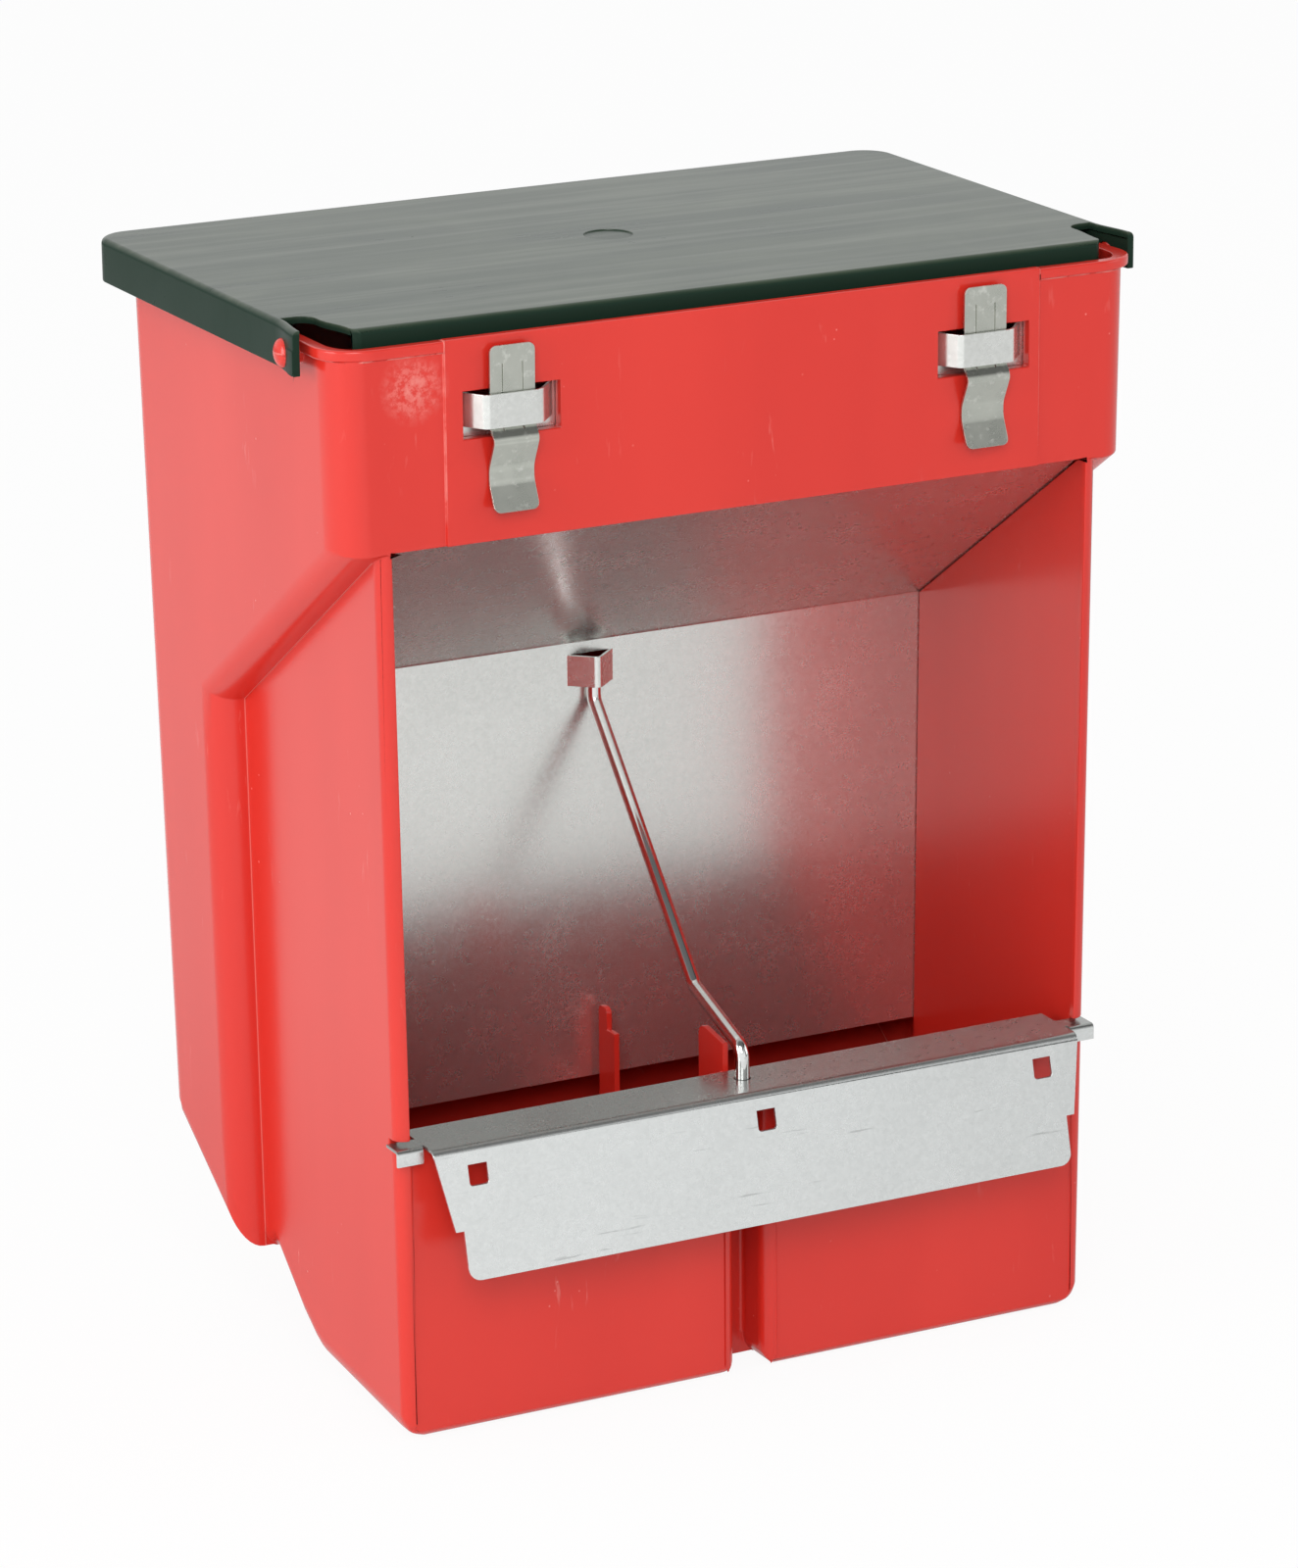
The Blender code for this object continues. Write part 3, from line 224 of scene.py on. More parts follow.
def bevel(piece, radius, segments, wanted):
    """Rounds the edges that pass a test."""
    select(piece, "EDGE", wanted)
    bpy.ops.mesh.bevel(offset=radius * MM, segments=segments, affect="EDGES", clamp_overlap=False)
    done()


def apply_modifier(piece, kind, **settings):
    """Adds a modifier with its settings and applies it."""
    bpy.ops.object.select_all(action="DESELECT")
    piece.select_set(True)
    bpy.context.view_layer.objects.active = piece
    modifier = piece.modifiers.new(kind.lower(), kind)
    for name, value in settings.items():
        setattr(modifier, name, value)
    bpy.ops.object.modifier_apply(modifier=modifier.name)


def combine(piece, operation, *tools):
    """Applies an exact Boolean with each tool and removes the tool.

    A Boolean leaves its corners in no fixed order. They are sorted by their distance from the 3D
    cursor, so that each run gives the same piece.
    """
    bpy.context.scene.cursor.location = SORTING_PLACE
    for tool in tools:
        apply_modifier(piece, "BOOLEAN", operation=operation, object=tool, solver="EXACT")
        bpy.data.objects.remove(tool)
        select(piece, "VERT", lambda middle, direction: True)
        bpy.ops.mesh.sort_elements(type="CURSOR_DISTANCE", elements={"VERT", "EDGE", "FACE"})
        done()


def join(piece, *tools):
    """Unites a piece with solids."""
    combine(piece, "UNION", *tools)


def cut(piece, *tools):
    """Takes solids out of a piece."""
    combine(piece, "DIFFERENCE", *tools)


def gather(piece, *shells):
    """Takes closed shells into a piece as they are, without a Boolean."""
    bpy.ops.object.select_all(action="DESELECT")
    for shell in (piece, *shells):
        shell.select_set(True)
    bpy.context.view_layer.objects.active = piece
    bpy.ops.object.join()


def clean(piece):
    """Merges doubles, makes flat areas single faces again and turns all faces out."""
    select(piece, "VERT", lambda middle, direction: True)
    bpy.ops.mesh.remove_doubles(threshold=0.000002)
    bpy.ops.mesh.dissolve_limited(angle_limit=math.radians(0.1))
    bpy.ops.mesh.normals_make_consistent(inside=False)
    done()


def divide(piece, *planes):
    """Divides large faces along planes, each a point and a direction, for even shading."""
    for point, normal in planes:
        bisect(piece, point, normal, clear=False, fill=False)


def soften(piece, radius, segments=2):
    """Rounds every edge that turns more than 35 degrees by a small radius."""
    apply_modifier(piece, "BEVEL", width=radius * MM, segments=segments, limit_method="ANGLE",
                   angle_limit=math.radians(35), use_clamp_overlap=False)


def taper(piece, draft, full_height):
    """Draws the sides in towards the bottom, level by level."""
    levels = sorted({round(corner.co.z, 6) for corner in piece.data.vertices})
    widest = max(corner.co.x for corner in piece.data.vertices)
    for level in levels:
        select(piece, "VERT", lambda middle, direction: abs(middle.z * MM - level) < 0.000002)
        share = 1 - (full_height * MM - level) * draft / widest
        bpy.ops.transform.resize(value=(share, 1, 1), center_override=(0, 0, 0))
        done()


def weighted_bevel(piece, radius_at, largest, segments):
    """Rounds edges, each by the radius that radius_at gives for its middle and direction."""
    weights = piece.data.attributes.new("bevel_weight_edge", "FLOAT", "EDGE")
    for edge in piece.data.edges:
        start, end = (piece.data.vertices[index].co for index in edge.vertices)
        radius = radius_at(sizes((start + end) / 2), (end - start).normalized())
        weights.data[edge.index].value = radius / largest
    apply_modifier(piece, "BEVEL", width=largest * MM, segments=segments, limit_method="WEIGHT",
                   use_clamp_overlap=False)
    piece.data.attributes.remove(piece.data.attributes["bevel_weight_edge"])


def near(*point):
    """A test for what lies at a point, within two hundredths of a millimetre."""
    return lambda middle, direction: (middle - Vector(point)).length < 0.02


def bent_sheet(name, line, radii, thickness, across, segments=6):
    """A strip bent along a line of points: a plane, extruded edge by edge, then bends and thickness.

    across is the strip's width as a vector, from one side of the line's start to the other.
    """
    line = [Vector(point) for point in line]
    across = Vector(across)
    along = line[1] - line[0]
    middle = (line[0] + line[1] + across) / 2
    wide, ahead = across.normalized(), along.normalized()
    turn = Matrix((wide, ahead, wide.cross(ahead))).transposed()
    bpy.ops.object.select_all(action="DESELECT")
    bpy.ops.mesh.primitive_plane_add(size=1, location=at(*middle), rotation=turn.to_euler())
    bpy.context.object.scale = (across.length * MM, along.length * MM, 1)
    sheet = take_primitive(name)
    for start, end in zip(line[1:], line[2:]):
        select(sheet, "EDGE", near(*(start + across / 2)))
        extrude_edge(*(end - start))
        done()
    for before, corner, after, radius in zip(line, line[1:], line[2:], radii):
        bend = (corner - before).angle(after - corner)
        if radius:
            bevel(sheet, radius * math.tan(bend / 2), segments, near(*(corner + across / 2)))
    apply_modifier(sheet, "SOLIDIFY", thickness=thickness * MM, offset=0.0, use_even_offset=True)
    clean(sheet)
    return sheet


def wire(name, line, radius, bend_radius):
    """A round wire: a disc extruded along each straight run and spun round each bend."""
    line = [Vector(point) for point in line]
    turn = (line[1] - line[0]).to_track_quat("Z", "Y").to_euler()
    bpy.ops.object.select_all(action="DESELECT")
    bpy.ops.mesh.primitive_circle_add(vertices=32, radius=radius * MM, fill_type="NGON",
                                      location=at(*line[0]), rotation=turn)
    piece = take_primitive(name)
    end = line[0]
    for corner, after in zip(line[1:], line[2:] + [None]):
        ahead = (corner - end).normalized()
        leave = (after - corner).normalized() if after else ahead
        bend = ahead.angle(leave)
        straight = corner - ahead * bend_radius * math.tan(bend / 2) - end
        select(piece, "FACE", near(*end))
        extrude(*straight)
        end = end + straight
        if after:
            axis = ahead.cross(leave).normalized()
            centre = end + axis.cross(ahead) * bend_radius
            bpy.ops.mesh.spin(steps=10, angle=-bend, center=at(*centre), axis=axis)
            end = centre + Matrix.Rotation(bend, 3, axis) @ (end - centre)
        done()
    return piece


def finish_piece(piece, body, material, slot, *nodes, angle=40):
    """Smooths a piece up to its sharp edges, dresses it and lets it ride on its body."""
    bpy.ops.object.select_all(action="DESELECT")
    piece.select_set(True)
    bpy.context.view_layer.objects.active = piece
    bpy.ops.object.shade_smooth_by_angle(angle=math.radians(angle))
    apply_modifier(piece, "WEIGHTED_NORMAL", keep_sharp=True, weight=100)
    piece.data.materials.clear()
    piece.data.materials.append(material)
    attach(piece, body)
    if nodes:
        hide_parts(*nodes)


# Hopper and trough


def shelf_height(y, out=0.0):
    """Height at y of the shelf above the mouth, a distance inside it."""
    return APRON_BOTTOM + out * math.hypot(1, SHELF_SLOPE) - SHELF_SLOPE * y


def floor_height(y, out=0.0):
    """Height at y of the rising floor's underside, a distance inside it."""
    return SHELF_SLOPE * (y - FLOOR_FLAT) + out * math.hypot(1, SHELF_SLOPE)


def hopper_solid(name, inset, top):
    """The wide hopper as a solid, or its hollow when it is inset by the wall."""
    side = HOPPER_SIDE - inset
    step = STEP + inset
    foot = floor_height(step, inset)
    rear_drop = RIM - floor_height(0.0, inset)
    rear_y = (HOPPER_BACK - inset - HOPPER_DRAFT * rear_drop) / (1 - HOPPER_DRAFT * SHELF_SLOPE)
    back = HOPPER_BACK - inset + (top - RIM) * HOPPER_DRAFT
    bend = shelf_height(step, inset)
    piece = block(name, (-side, step, foot), (side, back, top))
    select(piece, "EDGE", lambda p, d: abs(d.x) > 0.9 and p.z < foot + 1 and p.y > step + 1)
    move(y=rear_y - back, z=floor_height(rear_y, inset) - foot)
    done()
    bisect(piece, (0, 0, bend), (0, 0, 1), clear=False, fill=False)
    select(piece, "FACE", lambda p, d: d.y < -0.9 and p.z > bend)
    extrude(y=inset - step)
    done()
    select(piece, "EDGE", lambda p, d: abs(d.x) > 0.9 and p.z < bend + 1 and p.y < inset + 1)
    move(z=shelf_height(inset, inset) - bend)
    done()
    taper(piece, HOPPER_DRAFT, top)
    clean(piece)

    def radius(p, d):
        """12 mm on upright edges and 7.5 to 8 mm on sloping ones and the rear bend. The rest is sharp."""
        if abs(d.x) > 0.9:
            return 8.0 - inset if p.y > STEP + 10 else 0
        if abs(d.z) < 0.3:
            return 0
        if inset + 1 < p.y < STEP + 4:
            return 7.5 - inset
        return (12.0 if abs(d.z) > 0.9 else 8.0) - inset

    weighted_bevel(piece, radius, 12.0, 10)
    return piece


def trough_solid(name, inset):
    """The narrow trough and mouth as a solid, or its hollow when it is inset by the wall."""
    side = TROUGH_SIDE - inset
    reach = 5.0
    back = STEP + (WALL / 2 if inset else 0) + reach
    top = APRON_BOTTOM + 9.0
    piece = block(name, (-side, inset, inset), (side, back, top))
    for y, z, slope in UNDERSIDE:
        bisect(piece, (0, y, z + inset * math.hypot(1, slope)), (0, slope, -1))
    bisect(piece, (0, UNDERSIDE_END, 0), (0, 1, 0), clear=False, fill=False)
    y, z, slope = UNDERSIDE[-1]
    select(piece, "EDGE", lambda p, d: abs(d.x) > 0.9 and p.y > back - 0.1 and p.z < 100)
    move(z=-slope * (back - UNDERSIDE_END))
    done()
    bisect(piece, (0, reach, APRON_BOTTOM + reach), (0, SHELF_SLOPE, 1))
    start = back - reach
    end_height = z + slope * (UNDERSIDE_END - y) + inset * math.hypot(1, slope)
    bisect(piece, (0, start, end_height), (0, 2.0, -1))
    taper(piece, TROUGH_DRAFT, APRON_BOTTOM)

    def radius(p, d):
        """8 mm along the underside's sides, 5 mm along its front and 3.5 mm on upright front edges."""
        low = p.z < 40 and p.y < STEP + 1
        if abs(d.x) > 0.9:
            return 5.0 - inset if low and p.y < inset + 1 and p.z < inset + 1 else 0
        if abs(d.z) > 0.9:
            return max(3.5 - inset, 1.25) if p.y < inset + 1 else 0
        return 8.0 - inset if low else 0

    weighted_bevel(piece, radius, 8.0, 8)
    return piece


def ease(value, start, end):
    """A smooth step from 0 at start to 1 at end."""
    share = min(max((value - start) / (end - start), 0.0), 1.0)
    return share * share * (3 - 2 * share)


def splay(piece, first_y, last_y, distances, inner, outer):
    """Bends the parts beyond |x| = inner outwards, more and more from first_y to last_y."""
    for corner in piece.data.vertices:
        place = sizes(corner.co)
        side = 1 if place.x > 0 else -1
        share = ease(abs(place.x), inner, outer) * ease(place.y, first_y, last_y)
        corner.co.x += side * distances[side] * MM * share


def rim_lip():
    """The lip that stands proud round the rim, with a rounded edge, drawn out at the front corners."""
    proud = 0.85
    low = (-HOPPER_SIDE - proud, -proud, RIM - 3.1)
    lip = block("rim_lip", low, (HOPPER_SIDE + proud, HOPPER_BACK + proud, RIM))
    bevel(lip, 12.0 + proud, 12, lambda p, d: abs(d.z) > 0.9)
    bevel(lip, 0.66, 4, lambda p, d: abs(d.z) < 0.1)
    divide(lip, *[((0, y, 0), (0, 1, 0)) for y in (13.5, 16.0, 19.0, 22.0, 25.0, 28.0, 31.0)])
    splay(lip, 32.0, 4.0, {1: 1.9, -1: 0.7}, 108.0, 123.0)
    return lip


def trough_divider():
    """The thin wall between the feeding places, with its two fins."""
    half, front_y, back_y = DIVIDER_HALF, 15.0, 93.0
    wall = block("trough_divider", (-half, front_y, 1.2), (half, back_y + 0.1, 56.0))
    for y, z, slope in UNDERSIDE:
        bisect(wall, (0, y, z + 1.2), (0, slope, -1))
    front = block("front_fin", (-half, front_y, 40.0), (half, 30.0, 97.2))
    bisect(front, (0, 30.0, 97.2), (0, -0.16, 1))
    bevel(front, 4.0, 6, lambda p, d: abs(d.x) > 0.9 and p.z > 90 and p.y > 25)
    rear = block("rear_fin", (-half, 82.8, 28.0), (half, back_y, 76.8))
    top = block("rear_fin_top", (-half, 87.5, 70.0), (half, back_y, 83.4))
    bevel(top, 2.0, 5, lambda p, d: abs(d.x) > 0.9 and p.z > 80)
    join(wall, front, rear, top)
    return wall


def front_groove():
    """What the groove in the front wall takes away, with rounded lips and rounded bottom corners."""
    half, lip, low_corner = 4.4, 4.0, 6.5
    groove = block("groove", (-half, 0.6 + lip, -5.0), (half, 13.5, 95.0))
    bevel(groove, 1.2, 4, lambda p, d: abs(d.z) > 0.9 and p.y > 10)
    select(groove, "FACE", lambda p, d: d.y < -0.9)
    width, depth = half, 0.0
    for step in range(1, 8):
        angle = math.radians(step * 12.5)
        next_width, next_depth = half + lip * (1 - math.cos(angle)), lip * math.sin(angle)
        extrude(y=depth - next_depth)
        bpy.ops.transform.resize(value=(next_width / width, 1, 1), center_override=(0, 0, 0))
        width, depth = next_width, next_depth
    extrude(y=-4.0)
    done()
    wide = half + low_corner + 0.4
    foot = block("groove_foot", (-wide, -4.2, -6.0), (wide, 13.5, low_corner + 0.5))
    for side in (-1, 1):
        place = side * (half + low_corner)
        start, end = (place, -6.0, low_corner), (place, 16.0, low_corner)
        cut(foot, round_bar("foot_corner", start, end, low_corner + 0.03, sides=64))
    join(groove, foot)
    return groove


def moulded_hopper():
    """The red moulding: hopper, apron, mouth, trough, divider with its fins, rim lip and hinge pins."""
    body = hopper_solid("moulded_hopper", 0.0, RIM - 1.5)
    panel_low, panel_high = (-PANEL_SIDE, -PANEL_PROUD, APRON_BOTTOM), (PANEL_SIDE, WALL / 2, RIM + GAP)
    join(body, trough_solid("trough", 0.0), rim_lip(), block("apron_panel", panel_low, panel_high))
    cut(body, hopper_solid("hopper_hollow", WALL, RIM + 4.0), trough_solid("trough_hollow", WALL))
    mouth = block("mouth", (-MOUTH_SIDE, -4.0, FRONT_WALL_TOP), (MOUTH_SIDE, 3.75, APRON_BOTTOM + GAP))
    taper(mouth, TROUGH_DRAFT, APRON_BOTTOM)
    cut(body, mouth)
    for side in (-1, 1):
        middle = side * CLIP_OFFSET
        slot_heights = (FRONT_WALL_TOP, STRIP_BOTTOM)
        cut(body, side_block("tab_slot", side, (103.1, 116.0), (-4.0, 5.2), slot_heights),
            block("window", (middle - 13.6, -4.0, 284.1), (middle + 15.4, 3.75, 297.2)))
    casing = block("groove_casing", (-7.0, 1.25, 1.25), (7.0, 16.5, FRONT_WALL_TOP - GAP))
    bevel(casing, 2.5, 5, lambda p, d: abs(d.z) > 0.9 and p.y > 10)
    join(body, casing, trough_divider())
    recess = block("front_recess", (-105.4, -1.0, -1.0), (105.4, 0.6, 91.0))
    cut(body, recess, front_groove())
    for side in (-1, 1):
        pin_start, pin_end = (side * 121.7, PIN_Y, PIN_Z), (side * 129.0, PIN_Y, PIN_Z)
        join(body, round_bar("hinge_pin", pin_start, pin_end, PIN_RADIUS, sides=40))
    clean(body)
    for side in (-1, 1):
        divide(body, *[((side * x, 0, 0), (1, 0, 0)) for x in (105.3, 109.3, 40.0)])
    levels = (60.0, 85.0, 90.0, 180.0, 254.0, 256.5, 270.0, 300.0, 310.0)
    divide(body, *[((0, 0, level), (0, 0, 1)) for level in levels])
    soften(body, 0.35)
    for side in (-1, 1):
        gather(body, button("pin_head", (side * 127.9, PIN_Y, PIN_Z), (2.3, 4.0, 4.0)),
               button("parting_flash", (side * 128.2, PIN_Y - 0.3, PIN_Z), (1.95, 4.5, 0.16)))
    return body


# Galvanised sheets


def clip_bridge(side, plate_y):
    """A strap that stands out through an apron window and holds a cage clip."""
    middle = side * CLIP_OFFSET
    line = [(middle - 12.6, plate_y, BRIDGE_LOW), (middle - 8.1, -3.95, BRIDGE_LOW),
            (middle + 8.1, -3.95, BRIDGE_LOW), (middle + 14.4, plate_y, BRIDGE_LOW)]
    height = (0, 0, BRIDGE_HIGH - BRIDGE_LOW)
    return bent_sheet("clip_bridge", line, (1.9, 3.4), SHEET, height, segments=8)


def rod_loop(plate_y):
    """The pointed strap that holds the rod's upper end."""
    line = [(LOOP_X + x, y, LOOP_LOW) for x, y in ((-7.2, plate_y), (0, 89.1), (7.2, plate_y))]
    return bent_sheet("rod_loop", line, (1.6,), SHEET, (0, 0, LOOP_HIGH - LOOP_LOW), segments=8)


def bent_baffle():
    """The galvanised sheet behind the mouth, with two bridges and the rod's loop lanced from it."""
    half, front, back = 112.0, 3.25, 95.85
    line = [(-half, y, z) for y, z in ((front, 301.0), (front, 256.73), (back, 194.27), (back, 60.4))]
    baffle = bent_sheet("bent_baffle", line, (1.2, 1.2), SHEET, (2 * half, 0, 0))
    for side in (-1, 1):
        middle = side * CLIP_OFFSET
        cut(baffle, side_block("top_corner", side, (109.0, 116.0), (-4.0, 46.3), (250.3, 305.0)),
            block("bridge_slot", (middle - 11.7, 2.35, BRIDGE_LOW), (middle + 13.5, 4.15, BRIDGE_HIGH)))
        join(baffle, clip_bridge(side, front))
    slot_low, slot_high = (LOOP_X - 6.7, back - 0.9, LOOP_LOW), (LOOP_X + 6.7, back + 0.9, LOOP_HIGH)
    cut(baffle, block("loop_slot", slot_low, slot_high))
    join(baffle, rod_loop(back))
    clean(baffle)
    soften(baffle, 0.12)
    return baffle


def bent_guard():
    """The galvanised angle over the trough's front edge, with a tab at each end."""
    half, lower_half, top = 102.4, 96.0, GUARD_TOP
    line = [(-half, 12.3, top), (-half, -7.2, top), (-half, -15.86, 51.35)]
    guard = bent_sheet("bent_guard", line, (1.8,), SHEET, (2 * half, 0, 0))
    for side in (-1, 1):
        slant = side_block("slanted_end", side, (98.5, 112.0), (-30.0, -4.0), (65.2, 86.0))
        select(slant, "EDGE", lambda p, d: abs(d.y) > 0.9 and p.z > 80 and abs(p.x) < 100)
        move(x=side * 3.9)
        done()
        lower_end = side_block("lower_end", side, (lower_half, 112.0), (-30.0, -4.0), (45.0, 65.2))
        cut(guard, slant, lower_end)
    bevel(guard, 3.5, 6, lambda p, d: abs(abs(p.x) - lower_half) < 0.2 and p.z < 53 and abs(d.y) > 0.9)
    for side in (-1, 1):
        line = [(side * 103.1, 4.6, top), (side * 103.1, -2.4, top), (side * 103.1, -2.4, top - 4.2)]
        join(guard, bent_sheet("guard_tab", line, (0.9,), SHEET, (side * 7.9, 0, 0)))
        neck_heights = (top - SHEET / 2, top + SHEET / 2)
        join(guard, side_block("tab_neck", side, (101.1, 104.3), (-0.6, 4.6), neck_heights))
    for place in (-89.8, 0, 89.8):
        hole = block("square_hole", (place - 2.9, -14.0, 76.8), (place + 2.9, -4.0, 82.6))
        bevel(hole, 0.9, 4, lambda p, d: abs(d.y) > 0.9 and p.z < 78)
        cut(guard, hole)
    cut(guard, round_bar("rod_hole", (0, ROD_FOOT_Y, top - 3), (0, ROD_FOOT_Y, top + 3), 2.4))
    clean(guard)
    soften(guard, 0.12)
    return guard


def divider_rod():
    """The bright wire from the baffle's loop down through the guard."""
    upper = [(LOOP_X, 93.0, 187.54), (LOOP_X, 93.0, 176.9), (-0.7, 32.6, 107.1)]
    lower = [(0, ROD_FOOT_Y, 96.5), (0, ROD_FOOT_Y, 84.2)]
    rod = wire("bent_rod", upper + lower, ROD_RADIUS, 5.0)
    clean(rod)
    soften(rod, 0.4, 3)
    return rod


def spring_clip():
    """A spring clip: a flat tongue behind its bridge, then an S that traps a cage wire on the apron."""
    edge, tongue_y = -CLIP_OFFSET - CLIP_HALF, -2.8
    line = [(edge, y, z) for y, z in (
        (-3.0, 309.2), (tongue_y, BRIDGE_HIGH), (tongue_y, BRIDGE_LOW), (-5.4, 283.6), (-1.6, 275.5),
        (-1.6, 271.5), (-5.0, 263.8))]
    bends = (10.0, 2.0, 2.0, 6.0, 6.0)
    clip = bent_sheet("spring_clip", line, bends, CLIP_SHEET, (2 * CLIP_HALF, 0, 0), segments=8)
    rib_low = (-CLIP_OFFSET - 3.1, tongue_y, 297.2)
    rib_high = (-CLIP_OFFSET + 3.1, tongue_y + 1.0, 305.2)
    join(clip, block("clip_rib", rib_low, rib_high))
    bevel(clip, 2.0, 6, lambda p, d: abs(abs(p.x + CLIP_OFFSET) - CLIP_HALF) < 0.1 and abs(d.y) > 0.7
          and (p.z > 309 or p.z < 264.5))
    for side in (-1, 1):
        middle = -CLIP_OFFSET + side * 3.0
        slit_low, slit_high = (middle - 0.14, -4.0, 283.0), (middle + 0.14, -2.75, 304.2)
        cut(clip, block("clip_slit", slit_low, slit_high))
    clean(clip)
    soften(clip, 0.15)
    return clip


# Lid


def ear_notch(side):
    """What a corner notch takes out of the lid, beside the ear, curved out to the lid's front edge."""
    notch = side_block("ear_notch", side, (117.2, 125.4), (-4.0, 28.5), (300.0, 320.0))
    bevel(notch, 4.5, 8, lambda p, d: abs(d.z) > 0.9 and p.y > 28 and abs(p.x) < 118)
    steps = (22.0, 20.5, 19.0, 17.5, 16.0, 14.5, 13.0, 11.5, 10.0,
             9.0, 8.2, 7.6, 7.0, 6.6, 6.2, 5.8, 5.4)
    divide(notch, *[((0, y, 0), (0, 1, 0)) for y in steps])
    reach = 2.6 if side < 0 else 1.2
    for corner in notch.data.vertices:
        place = sizes(corner.co)
        if abs(place.x) < 118:
            mouth = min(max((9.0 - place.y) / 3.4, 0.0), 1.0) ** 2
            inwards = reach * ease(place.y, 22.0, 9.0) + 2.4 * mouth
            corner.co.x -= side * inwards * MM
    return notch


def moulded_lid():
    """The dark green cover: a plate with a skirt, two ears that turn on the pins, and low ribs below."""
    lid = block("moulded_lid", (-LID_SIDE, LID_FRONT, 303.5), (LID_SIDE, LID_BACK, LID_TOP))
    bevel(lid, 10.0, 12, lambda p, d: abs(d.z) > 0.9 and p.y > 100)
    bevel(lid, 1.7, 6, lambda p, d: abs(d.z) < 0.1 and p.z > LID_TOP - 1)
    hollow_low = (-LID_SIDE + LID_WALL, LID_FRONT + LID_WALL, 299.5)
    hollow_high = (LID_SIDE - LID_WALL, LID_BACK - LID_WALL, LID_TOP - LID_WALL)
    hollow = block("lid_hollow", hollow_low, hollow_high)
    bevel(hollow, 8.0, 12, lambda p, d: abs(d.z) > 0.9 and p.y > 100)
    cut(lid, hollow, block("front_skirt_edge", (-131.5, -4.0, 299.5), (131.5, 8.1, 309.5)))
    for side in (-1, 1):
        cut(lid, ear_notch(side))
        cut(lid, side_block("ear_front", side, (120.0, 131.5), (-4.0, 12.0), (299.5, 319.0)))
        if side < 0:
            lug = side_block("ear_lug", side, (125.5, 127.8), (12.0, 17.2), (303.7, 310.5))
            bevel(lug, 1.4, 5, lambda p, d: abs(d.x) > 0.9 and p.z < 304)
            join(lid, lug)
        else:
            cut(lid, side_block("ear_corner", side, (124.9, 131.0), (4.0, 20.0), (299.5, 305.2)))
        join(lid, side_block("rim_rib", side, (120.95, 122.55), (30.5, 130.9), (311.7, 314.8)))
    join(lid, block("rear_rim_rib", (-110.5, 141.3, 311.7), (110.5, 142.9, 314.8)))
    for side in (-1, 1):
        hole_start, hole_end = (side * 121.5, PIN_Y, PIN_Z), (side * 131.5, PIN_Y, PIN_Z)
        cut(lid, round_bar("pin_hole", hole_start, hole_end, PIN_RADIUS + GAP, sides=40))
    gate_start, gate_end = (-0.6, 81.8, LID_TOP - 0.35), (-0.6, 81.8, LID_TOP + 2)
    cut(lid, round_bar("gate_recess", gate_start, gate_end, 6.9, sides=64))
    clean(lid)
    divide(lid, *[((x, 0, 0), (1, 0, 0)) for x in (-95.0, -40.0, 40.0, 95.0)])
    divide(lid, *[((0, y, 0), (0, 1, 0)) for y in (45.0, 70.0, 95.0, 125.0)])
    for y in (13.5, 15.0, 17.5, 20.0, 22.5, 25.0, 28.0):
        bisect(lid, (0, y, 0), (0, 1, 0), lambda p, d: abs(p.x) > 124.8, clear=False, fill=False)
    splay(lid, 28.0, 11.5, {1: 2.35, -1: 1.9}, 124.8, 124.9)
    soften(lid, 0.25)
    return lid


# Shader nodes


class Field:
    """A socket that varies over a surface, with arithmetic that adds Math nodes."""

    def __init__(self, finish, socket):
        self.finish = finish
        self.socket = socket

    def math(self, operation, *others):
        return self.finish.node("ShaderNodeMath", {"operation": operation}, [self, *others])

    def __add__(self, other):
        return self.math("ADD", other)

    def __sub__(self, other):
        return self.math("SUBTRACT", other)

    def __rsub__(self, other):
        return (self * -1.0) + other

    def __mul__(self, other):
        return self.math("MULTIPLY", other)

    def __truediv__(self, other):
        return self.math("DIVIDE", other)

    def __pow__(self, other):
        return self.math("POWER", other)

    __radd__ = __add__
    __rmul__ = __mul__


class Nodes:
    """A node tree with one method that adds any node."""

    def __init__(self, tree):
        self.tree = tree

    def node(self, kind, settings, inputs, output=0):
        """Adds a node: its settings first, then its sockets' values or links. Gives one output."""
        made = self.tree.nodes.new(kind)
        for name, value in settings.items():
            if name == "stops":
                while len(made.color_ramp.elements) < len(value):
                    made.color_ramp.elements.new(1.0)
                for element, (position, shade) in zip(made.color_ramp.elements, value):
                    element.position = position
                    element.color = (shade, shade, shade, 1)
            else:
                setattr(made, name, value)
        for key, value in inputs.items() if isinstance(inputs, dict) else enumerate(inputs):
            self.feed(made.inputs[key], value)
        return Field(self, made.outputs[output])

    def feed(self, socket, value):
        """Links a field to a socket, or sets the socket's own value."""
        if isinstance(value, Field):
            self.tree.links.new(value.socket, socket)
        else:
            socket.default_value = value

    def blend(self, share, first, second):
        """A colour between two, by a share."""
        made = self.node("ShaderNodeMix", {"data_type": "RGBA"}, {0: share}, 2)
        node = made.socket.node
        for socket, colour in ((node.inputs[6], first), (node.inputs[7], second)):
            self.feed(socket, colour if isinstance(colour, Field) else (*colour, 1))
        return made


    def fade(self, field, start, end, first=0.0, last=1.0):
        """A smooth change from first to last while a field goes from start to end."""
        return self.node("ShaderNodeMapRange", {"interpolation_type": "SMOOTHSTEP"}, {
            "Value": field, "From Min": start, "From Max": end, "To Min": first, "To Max": last})

    def part_of(self, place, axis):
        """One coordinate of a place: X, Y or Z."""
        return self.node("ShaderNodeSeparateXYZ", {}, {0: place}, axis)

    def kind_of_ray(self, name):
        """1 for one kind of ray, such as what the camera sees or what a surface mirrors, else 0."""
        return self.node("ShaderNodeLightPath", {}, {}, name)


